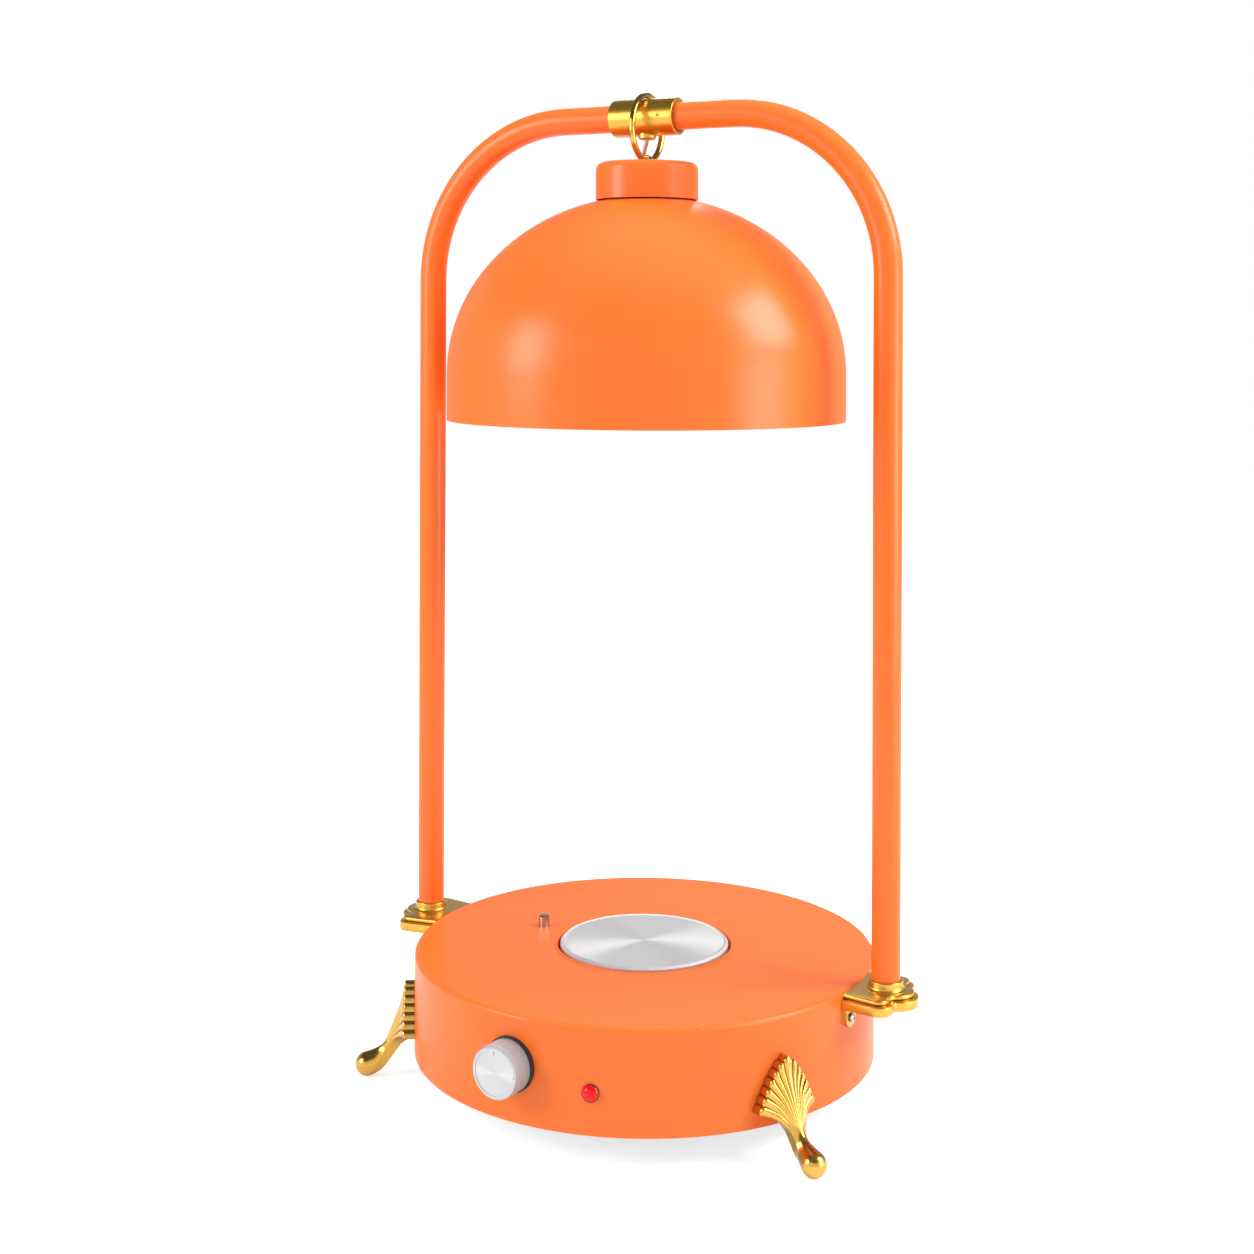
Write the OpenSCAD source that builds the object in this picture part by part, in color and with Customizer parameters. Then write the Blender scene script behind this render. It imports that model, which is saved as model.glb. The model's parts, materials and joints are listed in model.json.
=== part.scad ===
// Food heat lamp: a round heated base, an arch over it and a shade with a heat bulb hung from the arch.
// Origin: on the base's axis at table level. +X to the right post, -Y to the front, +Z up. Millimetres.

/* [Base] */
// Diameter of the drum
base_dia = 335; // [330:1:340]
// Height of the drum
base_h = 71; // [70:0.5:74]
// Underside of the drum above the table
base_clear = 23; // [22.5:0.5:24]
// Sheet thickness of the drum
base_wall = 1.5; // [1.4:0.1:1.6]
// Radius of the drum's top edge
base_edge_r = 3; // [2:0.5:4]
// Diameter of the warming plate
plate_dia = 123; // [120:1:124]
// Height of the plate above the drum's top
plate_rise = 3; // [2.5:0.5:4]
// Diameter of the hole the plate sits in
well_dia = 127; // [126.4:0.2:128]
// Diameter of the foot's ball toe
toe_dia = 18; // [17.5:0.5:18.5]
// Ball toe's centre out from the drum's wall
toe_out = 34.6; // [34:0.2:35.2]

/* [Controls] */
// Knob diameter
knob_dia = 35; // [34:0.5:36]
// Knob depth
knob_depth = 17; // [16:0.5:18]
// Knob's angle round the drum from the front, towards the right
knob_az = -4.5; // [-6:0.5:-4]
// Knob's centre below the drum's top
knob_drop = 33; // [32.5:0.5:34]
// Indicator's angle round the drum
lamp_az = 15.3; // [14.8:0.1:16]
// Indicator's centre below the drum's top
lamp_drop = 43; // [42:0.5:44]
// Diameter of the indicator's rim
lamp_dia = 11.6; // [11.4:0.2:12]
// Push button diameter
button_dia = 8.1; // [8:0.1:8.4]
// Push button's height above the drum's top
button_rise = 8.6; // [8:0.2:9]
// Push button's distance left of the axis
button_x = 85; // [84:1:88]

/* [Arch] */
// Tube diameter
tube_dia = 20; // [19.8:0.1:20.2]
// Tube wall
tube_wall = 1.5; // [1.2:0.1:1.8]
// Posts' centrelines out from the drum's wall
post_out = 19.5; // [19:0.25:20.5]
// Bend radius on the centreline
bend_r = 117.5; // [115:0.5:120]
// Diameter of the bracket's collar
collar_dia = 23.8; // [23.6:0.1:24.4]

/* [Hanger] */
// Sleeve diameter
sleeve_dia = 27.4; // [27:0.1:28]
// Sleeve length
sleeve_len = 52; // [50:1:54]
// Ring's outer diameter
ring_dia = 52.5; // [51.5:0.1:53.5]
// Ring's wire diameter
ring_wire = 4.4; // [4.2:0.1:4.6]
// Lead diameter
lead_dia = 2.9; // [2.6:0.1:3]

/* [Shade] */
// Radius of the shade's rim
shade_r = 146; // [142:1:150]
// Rim above the drum's top
rim_h = 385; // [380:1:388]
// Straight skirt above the rim
skirt_h = 34; // [32:1:36]
// Rise of the dome above the skirt
dome_rise = 130.2; // [129:0.2:132]
// Sheet thickness of the shade
shade_wall = 1.5; // [1.2:0.1:1.6]
// Radius of the cap
cap_r = 37.6; // [37:0.1:38]
// Height of the cap
cap_h = 27.3; // [26.5:0.1:28]
// Depth of the dimple that the eye stands in
dish_depth = 4.15; // [4:0.05:4.4]

/* [Hidden] */
$fn = 64;
top_z = base_clear + base_h;
base_r = base_dia / 2;
post_x = base_r + post_out;
inner_r = base_r - base_wall;
bolt_gap = 0.05;
seat_gap = 0.05;
body_gap = 0.3;

// Heights from the shade's rim up to the arch: dome, cap, dimple, eye, ring, sleeve.
seat_r = 30;
cap_gap = 1.3;
eye_wire = 1;
eye_hole = 3;
wire_half = ring_wire / 2;
skirt_z = top_z + rim_h + skirt_h;
seat_top = skirt_z + dome_rise * sqrt(1 - pow(seat_r / shade_r, 2));
seat_low = skirt_z + (dome_rise - shade_wall) * sqrt(1 - pow(seat_r / (shade_r - shade_wall), 2));
rim_low = skirt_z + dome_rise * sqrt(1 - pow(cap_r / shade_r, 2)) + cap_gap;
cap_z = rim_low + cap_h;
dish_floor = cap_z - dish_depth;
eye_z = dish_floor + 0.05 + 2 * eye_wire + eye_hole;
ring_low = eye_z + eye_hole - body_gap - wire_half;
ring_mid = ring_dia / 2 - wire_half;
ring_z = ring_low + ring_mid;
arch_z = ring_z + ring_dia / 2 - ring_wire - body_gap - sleeve_dia / 2;

foot_angles = [60, -60, 180];

paint = [0.95, 0.42, 0.16];
gold = [0.83, 0.62, 0.27];
steel = [0.72, 0.73, 0.75];
spun = [0.82, 0.82, 0.83];
chrome_col = [0.85, 0.86, 0.88];
black = [0.08, 0.08, 0.08];
cream = [0.86, 0.82, 0.72];
white = [0.92, 0.92, 0.9];
red = [0.85, 0.08, 0.05];

// A hollow cylinder standing on z = 0.
module pipe(r_out, r_in, h) {
    linear_extrude(height = h) difference() {
        circle(r = r_out);
        circle(r = r_in);
    }
}

// Children are drawn with local +Z pointing out of the drum, local z being the distance from its axis,
// local -X up and local +Y to the right when seen from the front.
module on_wall(az, z) {
    rotate([0, 0, az - 90]) translate([0, 0, z]) rotate([0, 90, 0]) children();
}

// A pan-head screw: head from z = 0 up, shank below.
module pan_screw(head_r, head_h, shank_r, shank_len) {
    difference() {
        union() {
            cylinder(r = head_r, h = head_h * 0.45);
            rotate_extrude() intersection() {
                translate([0, head_h - head_r * 1.35]) circle(r = head_r * 1.35);
                square([head_r, head_h]);
            }
        }
        for (a = [0, 90]) {
            rotate([0, 0, a]) translate([-head_r * 0.62, -head_r * 0.13, head_h * 0.5])
                cube([head_r * 1.24, head_r * 0.26, head_h]);
        }
    }
    translate([0, 0, -shank_len]) cylinder(r = shank_r, h = shank_len + head_h * 0.4);
}

// A hexagon nut standing on z = 0.
module hex_nut(across, h, bore) {
    difference() {
        cylinder(r = across / 2 / cos(30), h = h, $fn = 6);
        translate([0, 0, -1]) cylinder(r = bore, h = h + 2, $fn = 48);
    }
}

// A tube of n sides swept along a path of points.
function unit(v) = v / norm(v);
function path_dir(p, i) = unit(p[min(i + 1, len(p) - 1)] - p[max(i - 1, 0)]);
function side_of(d, u) = unit(cross(d, u));
module swept(p, r, n = 8, up = [0, 0.02, 1]) {
    m = len(p);
    pts = [
        for (i = [0:m - 1]) let(d = path_dir(p, i), s = side_of(d, up), t = cross(s, d))
            for (k = [0:n - 1]) p[i] + r * (cos(k * 360 / n) * s + sin(k * 360 / n) * t)
    ];
    walls = [
        for (i = [0:m - 2]) for (k = [0:n - 1])
            [i * n + k, i * n + (k + 1) % n, (i + 1) * n + (k + 1) % n, (i + 1) * n + k]
    ];
    tris = [for (f = walls) each [[f[0], f[1], f[2]], [f[0], f[2], f[3]]]];
    polyhedron(
        points = pts,
        faces = concat(tris, [[for (k = [n - 1:-1:0]) k]], [[for (k = [0:n - 1]) (m - 1) * n + k]])
    );
}

// Drum: spun steel with a bottom flange inside it and a turned-down well for the plate.
well_r = well_dia / 2;
ledge_in = 55;
ledge_drop = 6.5;
wire_hole_r = 4.5;
wire_drop = 7.4;
drill_in = 17.5;
cover_screw_in = 7;
tab_screw_y = 19;
tab_screw_drop = 18.4;
foot_screw_y = 6;
foot_screw_z = 50;
gland_az = 150;
gland_drop = 50;
module base_drum() {
    color(paint) difference() {
        rotate_extrude($fn = 180) {
            difference() {
                union() {
                    translate([0, base_clear]) square([base_r, base_h - base_edge_r]);
                    translate([0, base_clear]) square([base_r - base_edge_r, base_h]);
                    translate([base_r - base_edge_r, top_z - base_edge_r]) circle(r = base_edge_r);
                }
                translate([0, base_clear - 1]) square([inner_r, base_h + 1 - base_edge_r]);
                translate([0, base_clear - 1]) square([base_r - base_edge_r, base_h + 1 - base_wall]);
                translate([0, top_z - base_wall - 1]) square([well_r, base_wall + 5]);
                translate([base_r - base_edge_r, top_z - base_edge_r]) circle(r = base_edge_r - base_wall);
            }
            translate([well_r + 0.9, top_z]) circle(r = 0.9);
            translate([well_r, top_z - ledge_drop - 1.5]) square([1.5, ledge_drop + 1.4]);
            translate([ledge_in, top_z - ledge_drop - 1.5]) square([well_r + 1.5 - ledge_in, 1.5]);
            translate([inner_r - 10, base_clear + 1.6]) square([10.1, 1.5]);
        }
        on_wall(knob_az, top_z - knob_drop) translate([0, 0, base_r - drill_in]) cylinder(r = 5, h = 30);
        on_wall(lamp_az, top_z - lamp_drop) translate([0, 0, base_r - drill_in]) cylinder(r = 4.85, h = 30);
        on_wall(gland_az, top_z - gland_drop) translate([0, 0, base_r - drill_in]) cylinder(r = 6.05, h = 30);
        translate([-button_x, 0, top_z - 5]) cylinder(r = button_dia / 2 + 0.1, h = 10);
        for (s = [90, -90]) {
            on_wall(s, top_z - wire_drop) translate([0, 0, base_r - drill_in])
                cylinder(r = wire_hole_r, h = 30);
            for (y = [-tab_screw_y, tab_screw_y]) {
                on_wall(s, top_z - tab_screw_drop) translate([0, y, base_r - drill_in])
                    cylinder(r = 2.05, h = 30);
            }
        }
        for (a = foot_angles) {
            for (y = [-foot_screw_y, foot_screw_y]) {
                on_wall(a, foot_screw_z) translate([0, y, base_r - drill_in]) cylinder(r = 2.05, h = 30);
            }
        }
        for (a = [0:60:300]) {
            rotate([0, 0, a + 15]) translate([base_r - cover_screw_in, 0, base_clear])
                cylinder(r = 1.75, h = 6);
        }
    }
}

// Bottom cover: a disc inside the drum's lower edge with vent slots, held by six screws.
module base_cover() {
    color(steel) difference() {
        translate([0, 0, base_clear + 0.1]) cylinder(r = inner_r - 0.5, h = 1.5, $fn = 180);
        for (a = [0:60:300]) {
            rotate([0, 0, a + 15]) translate([base_r - cover_screw_in, 0, base_clear - 1])
                cylinder(r = 2.1, h = 5);
        }
        for (a = [0:30:330]) {
            rotate([0, 0, a]) translate([60, -2.5, base_clear - 1]) cube([34, 5, 4]);
            rotate([0, 0, a]) translate([60, 0, base_clear - 1]) cylinder(r = 2.5, h = 4);
            rotate([0, 0, a]) translate([94, 0, base_clear - 1]) cylinder(r = 2.5, h = 4);
        }
    }
}
module cover_screws() {
    color(steel) for (a = [0:60:300]) {
        rotate([0, 0, a + 15]) translate([base_r - cover_screw_in, 0, base_clear + 0.08]) rotate([180, 0, 0])
            pan_screw(3.5, 2.2, 1.7, 5.5);
    }
}

// Warming plate, seal, heating disc, insulation, clamp plate and nut, stacked on the plate's stud.
plate_r = plate_dia / 2;
plate_low = top_z - 6;
stud_r = 3;
tab_in = 45;
heater_tab_y = 8;
module warming_plate() {
    color(spun) {
        rotate_extrude($fn = 160) {
            difference() {
                translate([0, plate_low]) square([plate_r, plate_rise + 6]);
                translate([plate_r - 1.5, top_z + plate_rise]) rotate([0, 0, -45]) square([6, 3]);
                translate([plate_r - 4, top_z + plate_rise + 7.6]) circle(r = 8, $fn = 96);
                translate([0, top_z + plate_rise - 0.35]) square([plate_r - 4, 1]);
            }
        }
        translate([0, 0, top_z - 29]) cylinder(r = stud_r, h = 24);
    }
}
module plate_clip() {
    color(chrome_col) rotate([0, 0, -53]) translate([plate_r + 0.1, -2, top_z - 3]) {
        cube([well_r - plate_r - 0.2, 4, 2.6]);
    }
}
module plate_seal() {
    color(black) translate([0, 0, top_z - ledge_drop]) pipe(plate_r - 0.4, ledge_in + 0.6, 0.5);
}
module heater_disc() {
    color(steel) difference() {
        union() {
            translate([0, 0, plate_low - 3]) cylinder(r = 50, h = 3);
            for (y = [-heater_tab_y, heater_tab_y]) {
                translate([tab_in, y - 3, plate_low - 3]) cube([8.5, 6, 0.8]);
            }
        }
        translate([0, 0, plate_low - 4]) cylinder(r = stud_r + 0.3, h = 5);
    }
}
module insulation_disc() {
    color(white) translate([0, 0, plate_low - 9]) pipe(48, stud_r + 0.3, 6);
}
module heater_clamp_plate() {
    color(steel) difference() {
        union() {
            translate([0, 0, plate_low - 10.5]) pipe(60, stud_r + 0.3, 1.5);
            translate([0, 0, plate_low - 10.5]) pipe(60, 57.5, 8.5);
        }
        translate([tab_in - 2, -13, plate_low - 11]) cube([20, 26, 10]);
    }
}
module heater_clamp_nut() {
    color(steel) translate([0, 0, plate_low - 15.5]) hex_nut(10, 5, stud_r + bolt_gap);
}

// Knob, its grub screw, the shaft it turns, the control body, its nut and the black ring behind the knob.
knob_r = knob_dia / 2;
knob_back = base_r + 2.2;
knurl_h = 13;
face_in = 2.6;
shaft_r = 3;
control_back = 29.5;
module control_knob() {
    color(spun) on_wall(knob_az, top_z - knob_drop) difference() {
        union() {
            translate([0, 0, knob_back]) linear_extrude(height = knurl_h) {
                polygon([for (i = [0:143]) (knob_r - (i % 2) * 0.4) * [cos(i * 2.5), sin(i * 2.5)]]);
            }
            translate([0, 0, knob_back + knurl_h]) rotate_extrude($fn = 96) {
                difference() {
                    square([knob_r - 0.1, knob_depth - knurl_h]);
                    translate([knob_r - 1.3, knob_depth - knurl_h]) rotate([0, 0, -45]) square([6, 3]);
                    translate([0, knob_depth - knurl_h - 0.5]) square([knob_r - face_in, 2]);
                }
            }
        }
        translate([0, 0, knob_back - 1]) cylinder(r = 12.5, h = 6);
        translate([0, 0, knob_back]) cylinder(r = shaft_r + bolt_gap, h = 12);
        translate([-knob_r + face_in + 0.4, -0.4, knob_back + knob_depth - 1]) cube([2.6, 0.8, 3]);
        translate([0, knob_r - 1.6, knob_back + knob_depth - 0.9]) cylinder(r = 0.45, h = 2, $fn = 24);
        translate([0, 0, knob_back + 8]) rotate([0, 90, 0]) cylinder(r = 1.5 + bolt_gap, h = 30);
    }
}
module knob_grub_screw() {
    color(steel) on_wall(knob_az, top_z - knob_drop) {
        translate([0, 0, knob_back + 8]) rotate([0, 90, 0]) difference() {
            translate([0, 0, shaft_r + 0.02]) cylinder(r = 1.5, h = 8);
            translate([-1.2, -0.25, 10.2]) cube([2.4, 0.5, 3]);
        }
    }
}
module control_shaft() {
    color(steel) on_wall(knob_az, top_z - knob_drop) {
        translate([0, 0, base_r - 12]) cylinder(r = shaft_r, h = 25.5);
    }
}
module control_body() {
    color(black) on_wall(knob_az, top_z - knob_drop) difference() {
        union() {
            translate([-16, -16, base_r - control_back]) cube([32, 32, 26]);
            translate([0, 0, base_r - 7.5]) cylinder(r = 4.9, h = 11.5);
            for (y = [-9, 0, 9]) {
                for (x = [-8, 8]) {
                    translate([x - 0.4, y - 2, base_r - control_back - 7]) cube([0.8, 4, 8]);
                }
            }
        }
        translate([0, 0, base_r - 12.3]) cylinder(r = shaft_r + bolt_gap, h = 30);
    }
}
module control_nut() {
    color(steel) on_wall(knob_az, top_z - knob_drop) {
        translate([0, 0, base_r + 0.1]) hex_nut(14, 2.4, 4.95);
    }
}
module knob_ring() {
    color(black) on_wall(knob_az, top_z - knob_drop) difference() {
        translate([0, 0, base_r - 3]) pipe(knob_r + 1, 9.4, 4.8);
        rotate([0, 90, 0]) translate([0, 0, -30]) cylinder(r = base_r + seat_gap, h = 60, $fn = 180);
    }
}

// Indicator lamp.
lamp_r = lamp_dia / 2;
lens_round = 6.5;
module indicator_lens() {
    color(red) on_wall(lamp_az, top_z - lamp_drop) {
        translate([0, 0, base_r + 0.4]) cylinder(r = 3.4, h = 1.2);
        translate([0, 0, base_r + 1.52]) rotate_extrude() intersection() {
            translate([0, 3 - lens_round]) circle(r = lens_round);
            square([lamp_r - 0.35, 4]);
        }
    }
}
module indicator_body() {
    color(black) on_wall(lamp_az, top_z - lamp_drop) difference() {
        union() {
            translate([0, 0, base_r + 0.2]) cylinder(r = lamp_r, h = 1.3);
            translate([0, 0, base_r - 25.5]) cylinder(r = 4.8, h = 26.5);
            for (y = [-2.2, 2.2]) {
                translate([-1.5, y - 0.3, base_r - 32.5]) cube([3, 0.6, 8]);
            }
        }
        translate([0, 0, base_r + 0.4]) cylinder(r = 3.4, h = 5);
    }
}
module indicator_nut() {
    color(steel) on_wall(lamp_az, top_z - lamp_drop) {
        translate([0, 0, inner_r - 3.4]) hex_nut(13, 3, 4.85);
    }
}

// Push button: plunger, housing under the drum's top, return spring and switch.
button_r = button_dia / 2;
travel = 4;
stop_z = top_z - 8;
spring_r = 3.6;
spring_low = top_z - 28;
spring_high = stop_z - body_gap - 1.8;
module button_plunger() {
    color(chrome_col) translate([-button_x, 0, 0]) {
        translate([0, 0, stop_z - 2]) cylinder(r = button_r, h = top_z + button_rise - 0.9 - stop_z + 2);
        translate([0, 0, top_z + button_rise - 0.9]) cylinder(r1 = button_r, r2 = button_r - 0.9, h = 0.9);
        translate([0, 0, stop_z - body_gap - 1.7]) cylinder(r = 5.7, h = 1.7);
        translate([0, 0, top_z - 27]) cylinder(r = 2, h = 18);
    }
}
module button_housing() {
    color(steel) translate([-button_x, 0, 0]) {
        translate([0, 0, top_z - base_wall - 1.2]) pipe(11, button_r + 0.08, 1.2);
        translate([0, 0, stop_z]) pipe(7.6, button_r + 0.08, 6);
        translate([0, 0, top_z - 28]) pipe(7.6, 6.2, 20.5);
    }
}
spring_turns = 5;
spring_steps = 12;
spring_wire = 0.55;
spring_lift = spring_high - spring_low - 2 * spring_wire - 0.1;
module button_spring() {
    color(steel) translate([-button_x, 0, 0]) swept(
        [
            for (i = [0:spring_turns * spring_steps]) let(a = i * 360 / spring_steps)
                [
                    spring_r * cos(a),
                    spring_r * sin(a),
                    spring_low + 0.05 + spring_wire + spring_lift * i / (spring_turns * spring_steps)
                ]
        ],
        spring_wire,
        6
    );
}
module button_switch() {
    color(black) translate([-button_x, 0, 0]) difference() {
        union() {
            translate([-10, -8, top_z - 50]) cube([20, 16, 22]);
            for (x = [-6, 6]) {
                translate([x - 2, -0.4, top_z - 57]) cube([4, 0.8, 8]);
            }
        }
        translate([0, 0, top_z - 33]) cylinder(r = 2.4, h = 10);
    }
}

// Terminal block, wiring and the cord gland in the rear wall.
module terminal_block() {
    color(white) translate([-40, 92, base_clear + 1.7]) difference() {
        union() {
            cube([56, 22, 5]);
            for (i = [0:4]) {
                translate([2 + i * 11, 3, 4]) cube([8, 16, 11]);
            }
        }
        for (i = [0:4]) {
            translate([6 + i * 11, 7, 9]) cylinder(r = 2, h = 10);
            translate([6 + i * 11, 15, 9]) cylinder(r = 2, h = 10);
        }
    }
}
wire_r = 1.2;
// A point on the drum's inside, given as on_wall's: angle, distance from the axis, to the right, height.
function wall_point(az, r, y, z) = [r * sin(az) + y * cos(az), -r * cos(az) + y * sin(az), z];
module base_wiring() {
    control_r = base_r - control_back - 7.05;
    lamp_pin_r = base_r - 32.55;
    pole_y = 90.95;
    heater_z = plate_low - 3.05;
    function control_pin(y, up, back) =
        wall_point(knob_az, control_r - back, y, top_z - knob_drop + up);
    function lamp_pin(y, back) = wall_point(lamp_az, lamp_pin_r - back, y, top_z - lamp_drop);
    color(cream) {
        swept([[-34, pole_y, 37], [-34, 80, 42], [-20, 40, 44], [-12, -20, 44], [-20, -80, 48],
            control_pin(-9, -8, 8), control_pin(-9, -8, 0)], wire_r);
        swept([[-12, pole_y, 37], [-11, 78, 40], [10, 20, 40], [26, -60, 42], lamp_pin(2.2, 8),
            lamp_pin(2.2, 0)], wire_r);
        swept([lamp_pin(-2.2, 0), lamp_pin(-2.2, 6), [14, -112, 47], control_pin(9, -8, 7),
            control_pin(9, -8, 0)], wire_r);
        swept([[-1, pole_y, 37], [0, 80, 42], [20, 56, 56], [46, 30, 64], [tab_in + 5, 11, 72],
            [tab_in + 5, heater_tab_y, 79], [tab_in + 5, heater_tab_y, heater_z]], wire_r);
        swept([control_pin(0, 8, 0), control_pin(0, 8, 8), [10, -90, 66], [44, -30, 66],
            [tab_in + 5, -10, 73], [tab_in + 5, -heater_tab_y, 79], [tab_in + 5, -heater_tab_y, heater_z]],
            wire_r);
        swept([[10, pole_y, 37], [14, 80, 42], [70, 60, 60], [130, 20, 80], [base_r - 18, 2, 86],
            [inner_r - 9, 0, top_z - wire_drop], [inner_r - 6.05, 0, top_z - wire_drop]], wire_r);
        swept([[-23, pole_y, 37], [-24, 80, 40], [-60, 40, 34], [-button_x - 4, 9, 30],
            [-button_x - 6, 0, 32], [-button_x - 6, 0, top_z - 57.05]], wire_r);
    }
}
gland_bore = 3.7;
module cord_gland_body() {
    color(black) on_wall(gland_az, top_z - gland_drop) difference() {
        union() {
            translate([0, 0, base_r - 9.5]) cylinder(r = 6, h = 18.5);
            translate([0, 0, base_r + 0.1]) cylinder(r = 9 / cos(30), h = 4, $fn = 6);
        }
        translate([0, 0, base_r - drill_in]) cylinder(r = gland_bore, h = 40);
    }
}
module cord_gland_nut() {
    color(black) on_wall(gland_az, top_z - gland_drop) difference() {
        union() {
            translate([0, 0, base_r + 4.3]) cylinder(r = 8.2 / cos(30), h = 6, $fn = 6);
            translate([0, 0, base_r + 10]) cylinder(r1 = 8.2, r2 = 6, h = 4, $fn = 64);
        }
        translate([0, 0, base_r]) cylinder(r = 6.05, h = 9.3);
        translate([0, 0, base_r]) cylinder(r = gland_bore + 0.3, h = 20);
    }
}
module cord_gland_locknut() {
    color(black) on_wall(gland_az, top_z - gland_drop) {
        translate([0, 0, inner_r - 4.5]) hex_nut(18, 4, 6.05);
    }
}

// Arch: a bent tube standing in two cast brackets.
tube_r = tube_dia / 2;
tube_in = tube_r - tube_wall;
tube_foot = top_z - 4;
bend_z = arch_z - bend_r;
module along_arch(r_out, r_in, low) {
    for (s = [-1, 1]) {
        translate([s * post_x, 0, low]) linear_extrude(height = bend_z - low) difference() {
            circle(r = r_out);
            if (r_in > 0) {
                circle(r = r_in);
            }
        }
        translate([s * (post_x - bend_r), 0, bend_z]) rotate([90, 0, s > 0 ? 0 : 180])
            rotate_extrude(angle = 90, $fn = 96) translate([bend_r, 0]) difference() {
                circle(r = r_out);
                if (r_in > 0) {
                    circle(r = r_in);
                }
            }
    }
    translate([bend_r - post_x, 0, arch_z]) rotate([0, 90, 0])
        linear_extrude(height = 2 * (post_x - bend_r)) difference() {
            circle(r = r_out);
            if (r_in > 0) {
                circle(r = r_in);
            }
        }
}
module arch_tube() {
    color(paint) difference() {
        along_arch(tube_r, tube_in, tube_foot);
        translate([0, 0, arch_z - tube_r - 5]) cylinder(r = 4.3, h = 12);
    }
}
cable_r = 2.6;
module riser_cable() {
    color(white) {
        translate([post_x, 0, tube_foot + 2]) cylinder(r = cable_r, h = bend_z - tube_foot - 2);
        translate([post_x - bend_r, 0, bend_z]) rotate([90, 0, 0]) rotate_extrude(angle = 90, $fn = 96)
            translate([bend_r, 0]) circle(r = cable_r);
        translate([6, 0, arch_z]) rotate([0, 90, 0]) cylinder(r = cable_r, h = post_x - bend_r - 6);
        translate([post_x, 0, top_z - wire_drop]) cylinder(r = cable_r, h = 6);
        translate([inner_r - 6, 0, top_z - wire_drop]) rotate([0, 90, 0]) cylinder(r = cable_r, h = 27);
    }
}

// Bracket outline at a distance out from its edge: side, corner lobe, hollow, nose and the same mirrored.
lobe = [post_x + 2.5, 21.5];
lobe_r = 6.8;
nose = [post_x + 6.4, 0];
nose_r = 13.3;
hollow_r = 7;
// Centre of the hollow that touches the nose and the lobe from outside.
function hollow_at(a, ra, b, rb) =
    let(d = norm(b - a), u = (b - a) / d, s = (ra * ra - rb * rb + d * d) / (2 * d), h = sqrt(ra * ra - s * s))
    a + s * u + h * [u[1], -u[0]];
hollow = hollow_at(nose, nose_r + hollow_r, lobe, lobe_r + hollow_r);
function heading(a, b) = atan2(b[1] - a[1], b[0] - a[0]);
to_nose = heading(nose, hollow);
to_lobe = heading(hollow, lobe);
function arc(c, r, a, b, n) = [for (i = [0:n]) c + r * [cos(a + (b - a) * i / n), sin(a + (b - a) * i / n)]];
function half_outline(o) = concat(
    arc(nose, nose_r + o, 6, to_nose, 7),
    arc(hollow, hollow_r - o, to_nose + 180, to_lobe, 6),
    arc(lobe, lobe_r + o, to_lobe - 180, 99, 9),
    [[base_r - 7.5, 24.4 + o]]
);
function outline(o) = concat(
    [for (p = half_outline(o)) p],
    [let(h = half_outline(o)) for (i = [len(h) - 1:-1:0]) [h[i][0], -h[i][1]]]
);
bracket_rows = [
    [-11.3, 2], [-11, 2.9], [-10.4, 3.2], [-5.6, 3.2], [-4.9, 3], [-4.4, 2.3], [-4.3, -1.2],
    [-4, -0.6], [-3.3, 0], [-2.2, 0], [-1.5, -0.4], [-1.1, -1.1], [-1, -1.7],
];
tab_thick = 2.5;
collar_h = 7.5;
collar_lip = 1.2;
flare = 2.6;
tab_half = 6.5;
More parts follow.
